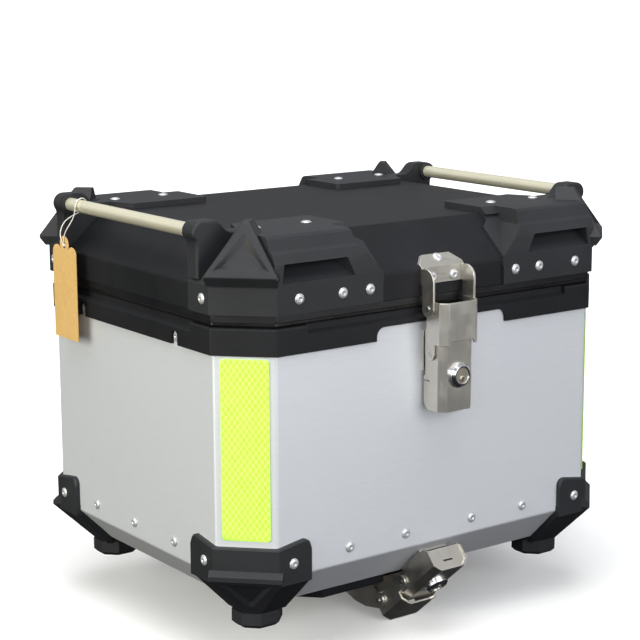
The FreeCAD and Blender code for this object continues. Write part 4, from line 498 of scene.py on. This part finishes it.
CAMERA_PLACE = Vector((-0.9943, -1.3475, 0.5559))
CAMERA_BACK = Vector((-0.5806, -0.7908, 0.1940)).normalized()
CAMERA_ROLL = math.radians(-0.24)
SENSOR_WIDE = 36.0
LENS_LONG = 99.9
LENS_SHIFT_UP = -0.0073
SIGHT_END = 100.0


def add_object(name, data):
    thing = bpy.data.objects.new(name, data)
    bpy.context.scene.collection.objects.link(thing)
    return thing


def floor():
    """A pale floor that catches soft shadows but isn't mirrored in the metal."""
    mesh = bpy.data.meshes.new("floor")
    build = bmesh.new()
    bmesh.ops.create_grid(build, x_segments=2, y_segments=2, size=FLOOR_HALF)
    bmesh.ops.translate(build, verts=build.verts, vec=(0, 0, CAD_BOX[0][2] - FLOOR_GAP))
    build.to_mesh(mesh)
    build.free()
    thing = add_object("floor", mesh)
    g = Graph("floor_finish")
    cloud = g.noise(3.0, 2.0)
    tint = g.blend(cloud, colour(242, 242, 242), colour(246, 246, 246))
    length = g.add("ShaderNodeVectorMath", operation="LENGTH")
    g.feed(length.inputs[0], g.coords)
    glow = g.spread(length.outputs["Value"], GLOW_FROM, GLOW_TO, GLOW_WEAK, GLOW_STRONG)
    mesh.materials.append(g.finish(Base_Color=tint, Roughness=0.9, Specular_IOR_Level=0.1,
                                   Emission_Color=(1, 1, 1, 1), Emission_Strength=glow))
    thing.visible_glossy = False
    thing.visible_diffuse = False


def world():
    """White to the camera; in reflections a bright room above and a dark one below."""
    scene_world = bpy.data.worlds.new("studio")
    bpy.context.scene.world = scene_world
    scene_world.use_nodes = True
    tree = scene_world.node_tree
    tree.nodes.clear()
    coords = tree.nodes.new("ShaderNodeTexCoord")
    split = tree.nodes.new("ShaderNodeSeparateXYZ")
    reach = tree.nodes.new("ShaderNodeMapRange")
    reach.inputs["From Min"].default_value = -1.0
    ramp = tree.nodes.new("ShaderNodeValToRGB")
    tree.links.new(coords.outputs["Generated"], split.inputs[0])
    tree.links.new(split.outputs["Z"], reach.inputs["Value"])
    tree.links.new(reach.outputs["Result"], ramp.inputs["Fac"])
    low, middle, high = ROOM_STOPS
    stops = ramp.color_ramp.elements
    stops[0].position, stops[0].color = low
    stops[1].position, stops[1].color = high
    stops.new(middle[0]).color = middle[1]
    white = tree.nodes.new("ShaderNodeBackground")
    white.inputs["Color"].default_value = (1, 1, 1, 1)
    white.inputs["Strength"].default_value = 1.0
    room = tree.nodes.new("ShaderNodeBackground")
    room.inputs["Strength"].default_value = ROOM_STRENGTH
    tree.links.new(ramp.outputs["Color"], room.inputs["Color"])
    path = tree.nodes.new("ShaderNodeLightPath")
    mix = tree.nodes.new("ShaderNodeMixShader")
    out = tree.nodes.new("ShaderNodeOutputWorld")
    tree.links.new(path.outputs["Is Camera Ray"], mix.inputs["Fac"])
    tree.links.new(room.outputs[0], mix.inputs[1])
    tree.links.new(white.outputs[0], mix.inputs[2])
    tree.links.new(mix.outputs[0], out.inputs["Surface"])


def softbox(name, place, wide, high, power, tint):
    """A rectangular light at place that faces the case."""
    light = bpy.data.lights.new(name, "AREA")
    light.shape = "RECTANGLE"
    light.size = wide
    light.size_y = high
    light.energy = power
    light.color = tint
    thing = add_object(name, light)
    thing.location = place
    aim = LIGHT_AIM - Vector(place)
    thing.rotation_euler = aim.to_track_quat("-Z", "Y").to_euler()


def camera():
    """The camera, low and far out from the left front corner, with a long lens."""
    lens = bpy.data.cameras.new("camera")
    lens.sensor_width = SENSOR_WIDE
    lens.lens = LENS_LONG
    lens.shift_y = LENS_SHIFT_UP
    lens.clip_end = SIGHT_END
    thing = add_object("camera", lens)
    side = Vector((0, 0, 1)).cross(CAMERA_BACK).normalized()
    up = CAMERA_BACK.cross(side)
    turn = Matrix((side, up, CAMERA_BACK)).transposed().to_4x4()
    roll = Matrix.Rotation(CAMERA_ROLL, 4, "Z")
    thing.matrix_world = Matrix.Translation(CAMERA_PLACE) @ turn @ roll
    bpy.context.scene.camera = thing


bpy.context.scene.view_settings.view_transform = "Standard"
floor()
world()
for box_name, box in SOFTBOXES.items():
    softbox(box_name, *box)
camera()
